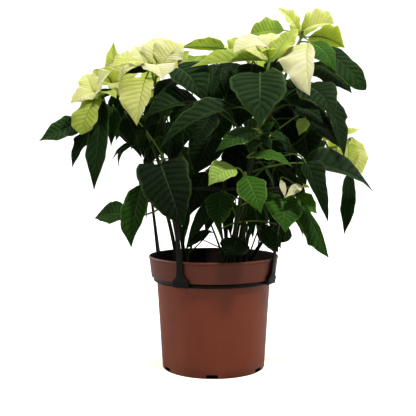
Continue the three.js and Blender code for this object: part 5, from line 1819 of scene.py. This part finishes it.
def shape_upright(number, angle):
    strip = own_copy(SQUARE_BAR, f"support_strip_{number}")
    raw = read_points(strip)
    corner = np.rint((np.degrees(np.arctan2(raw[:, 1], raw[:, 0])) % 360) / 90).astype(int) % 4
    ring = np.rint(raw[:, 2]).astype(int)
    height, inner, outer, width = UPRIGHT[ring].T
    left = np.isin(corner, (0, 3))
    front = np.isin(corner, (0, 1))
    across = np.where(left, -width / 2, width / 2)
    flat = np.stack([across, -np.where(front, outer, inner), height], 1)
    write_points(strip, turned_about_z(flat, angle) * MM)
    face_outwards(strip)
    soften_edges(strip, 0.5, 3, 35)
    return strip


strips = [shape_upright(n + 1, angle) for n, angle in enumerate(UPRIGHT_ANGLES)]
print("uprights:", [len(strip.data.polygons) for strip in strips], "faces")

# %% [markdown]
# The support's plastic is near black and dull with dust. Black plastic still shows a faint
# green-grey where light grazes it, so its colour isn't quite black, and the wear group of
# the pot is used again with its own values: dust greys it and takes its gloss, scratches
# show as thin pale lines, and the grain is its only relief.

# %% Support finish
support_finish, tree, shader = new_material("support_plastic", Specular_IOR_Level=0.25)
worn = node(tree, "ShaderNodeGroup", {"Size": 90.0, "Amount": 0.6}, node_tree=wear).outputs
colour = mix_colour(tree, times(tree, worn["Dust"], 0.3), (0.005, 0.007, 0.005, 1),
                    (0.03, 0.034, 0.028, 1))
colour = mix_colour(tree, times(tree, worn["Scratches"], 0.3), colour,
                    (0.07, 0.08, 0.07, 1))
gloss = more(tree, 0.36, worn["Dust"], 0.4)
plug_in(tree, shader, colour, gloss, worn["Grain"], 0.3, 0.0002)
support = [(low_band, "support_ring_lower"), (top_hoop, "support_ring_upper")]
support += [(strip, f"support_upright_{n + 1}") for n, strip in enumerate(strips)]
for piece, name in support:
    finish_with(piece, support_finish)
    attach(piece, ROOT)
    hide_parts(name)
print("support finish:", len(tree.nodes), "nodes")

# %% [markdown]
# The starting sheets and bars have done their work and are taken away. The plant stands on
# a plain white floor. A real white sheet would show its horizon and a grey shadow, so the
# floor also glows a little where the camera sees it. Close to the pot a faint warm shadow
# is painted into its colour and glow, and just under the foot it is painted dark as shade,
# where no light gets in.

# %% Floor
for start in (FINE_SHEET, PLAIN_SHEET, STEM_BAR, STALK_BAR, RIB_BAR, SQUARE_BAR, BUD):
    bpy.data.objects.remove(start)
WARM_SHADOW_REACH = (0.06, 0.16)
UNDER_POT = (0.0655, 0.0675)
clear_selection()
bpy.ops.mesh.primitive_plane_add(size=14, location=(0, 0, 0))
floor = bpy.context.object
floor.name = "studio_floor"
floor_finish, tree, shader = new_material("studio_floor", Roughness=0.9, Specular_IOR_Level=0.1)
seen = node(tree, "ShaderNodeLightPath").outputs["Is Camera Ray"]
reach = from_axis(tree, parts_of(tree, own_place(tree)))
# Painted shade: a faint warm shadow on the floor close to the pot, and near black just under its
# foot.
near = fall(tree, reach, *WARM_SHADOW_REACH)
hidden = fall(tree, reach, *UNDER_POT)
glow = mix_colour(tree, near, (0.45, 0.45, 0.45, 1), (0.45, 0.43, 0.37, 1))
glow = mix_colour(tree, hidden, glow, (0, 0, 0, 1))
paper = mix_colour(tree, near, (0.93, 0.92, 0.90, 1), (0.93, 0.89, 0.79, 1))
paper = mix_colour(tree, seen, (0.42, 0.41, 0.40, 1), paper)
paper = mix_colour(tree, hidden, paper, (0.02, 0.012, 0.008, 1))
tree.links.new(paper, shader.inputs["Base Color"])
tree.links.new(glow, shader.inputs["Emission Color"])
tree.links.new(seen, shader.inputs["Emission Strength"])
finish_with(floor, floor_finish)
print("floor finish:", len(tree.nodes), "nodes")

# %% [markdown]
# The light is that of a soft studio. One small round lamp stands high up, in front and to
# the right, and draws the shadows of the leaves. More lamps could fill the rest, but a sky
# does it without shadows of its own: it is bright behind, above and at the sides, a little
# more on the left, and dim on the camera's side, which keeps the dark leaves deep. To the
# camera itself the sky is plain white.

# %% Lamp and sky
LAMP_PLACE = (0.45, -0.77, 1.66)
LAMP_AIM = (0, 0, 0.2)
light = bpy.data.lights.new("top_lamp", "AREA")
light.shape = "DISK"
light.size = 0.14
light.energy = 23
light.color = (1.0, 0.99, 0.97)
lamp = bpy.data.objects.new("top_lamp", light)
lamp.location = LAMP_PLACE
way = np.array(LAMP_AIM, float) - np.array(LAMP_PLACE, float)
tilt = math.atan2(math.hypot(way[0], way[1]), -way[2])
lamp.rotation_euler = (tilt, 0, math.atan2(-way[0], way[1]))
bpy.context.collection.objects.link(lamp)

sky = bpy.data.worlds.new("studio_sky")
sky.use_nodes = True
tree = sky.node_tree
tree.nodes.clear()
way = parts_of(tree, node(tree, "ShaderNodeTexCoord").outputs["Generated"])
behind = rise(tree, way[1], -0.6, 0.7)
above = rise(tree, way[2], 0.1, 0.95)
beside = rise(tree, maths(tree, "ABSOLUTE", way[0]), 0.55, 0.95)
beside = times(tree, beside, more(tree, 1.0, way[0], -0.5))
strength = more(tree, 0.04, behind, 0.75)
strength = more(tree, strength, beside, 1.0)
strength = more(tree, strength, above, 0.4)
glow = node(tree, "ShaderNodeBackground", {0: (1, 1, 1, 1), 1: strength}).outputs[0]
plain = node(tree, "ShaderNodeBackground", {0: (1, 1, 1, 1), 1: 1.1}).outputs[0]
seen = node(tree, "ShaderNodeLightPath").outputs["Is Camera Ray"]
both = node(tree, "ShaderNodeMixShader", {0: seen, 1: glow, 2: plain}).outputs[0]
tree.links.new(both, node(tree, "ShaderNodeOutputWorld").inputs["Surface"])
bpy.context.scene.world = sky
bpy.context.scene.view_settings.view_transform = "Standard"
bpy.context.scene.view_settings.look = "Medium High Contrast"
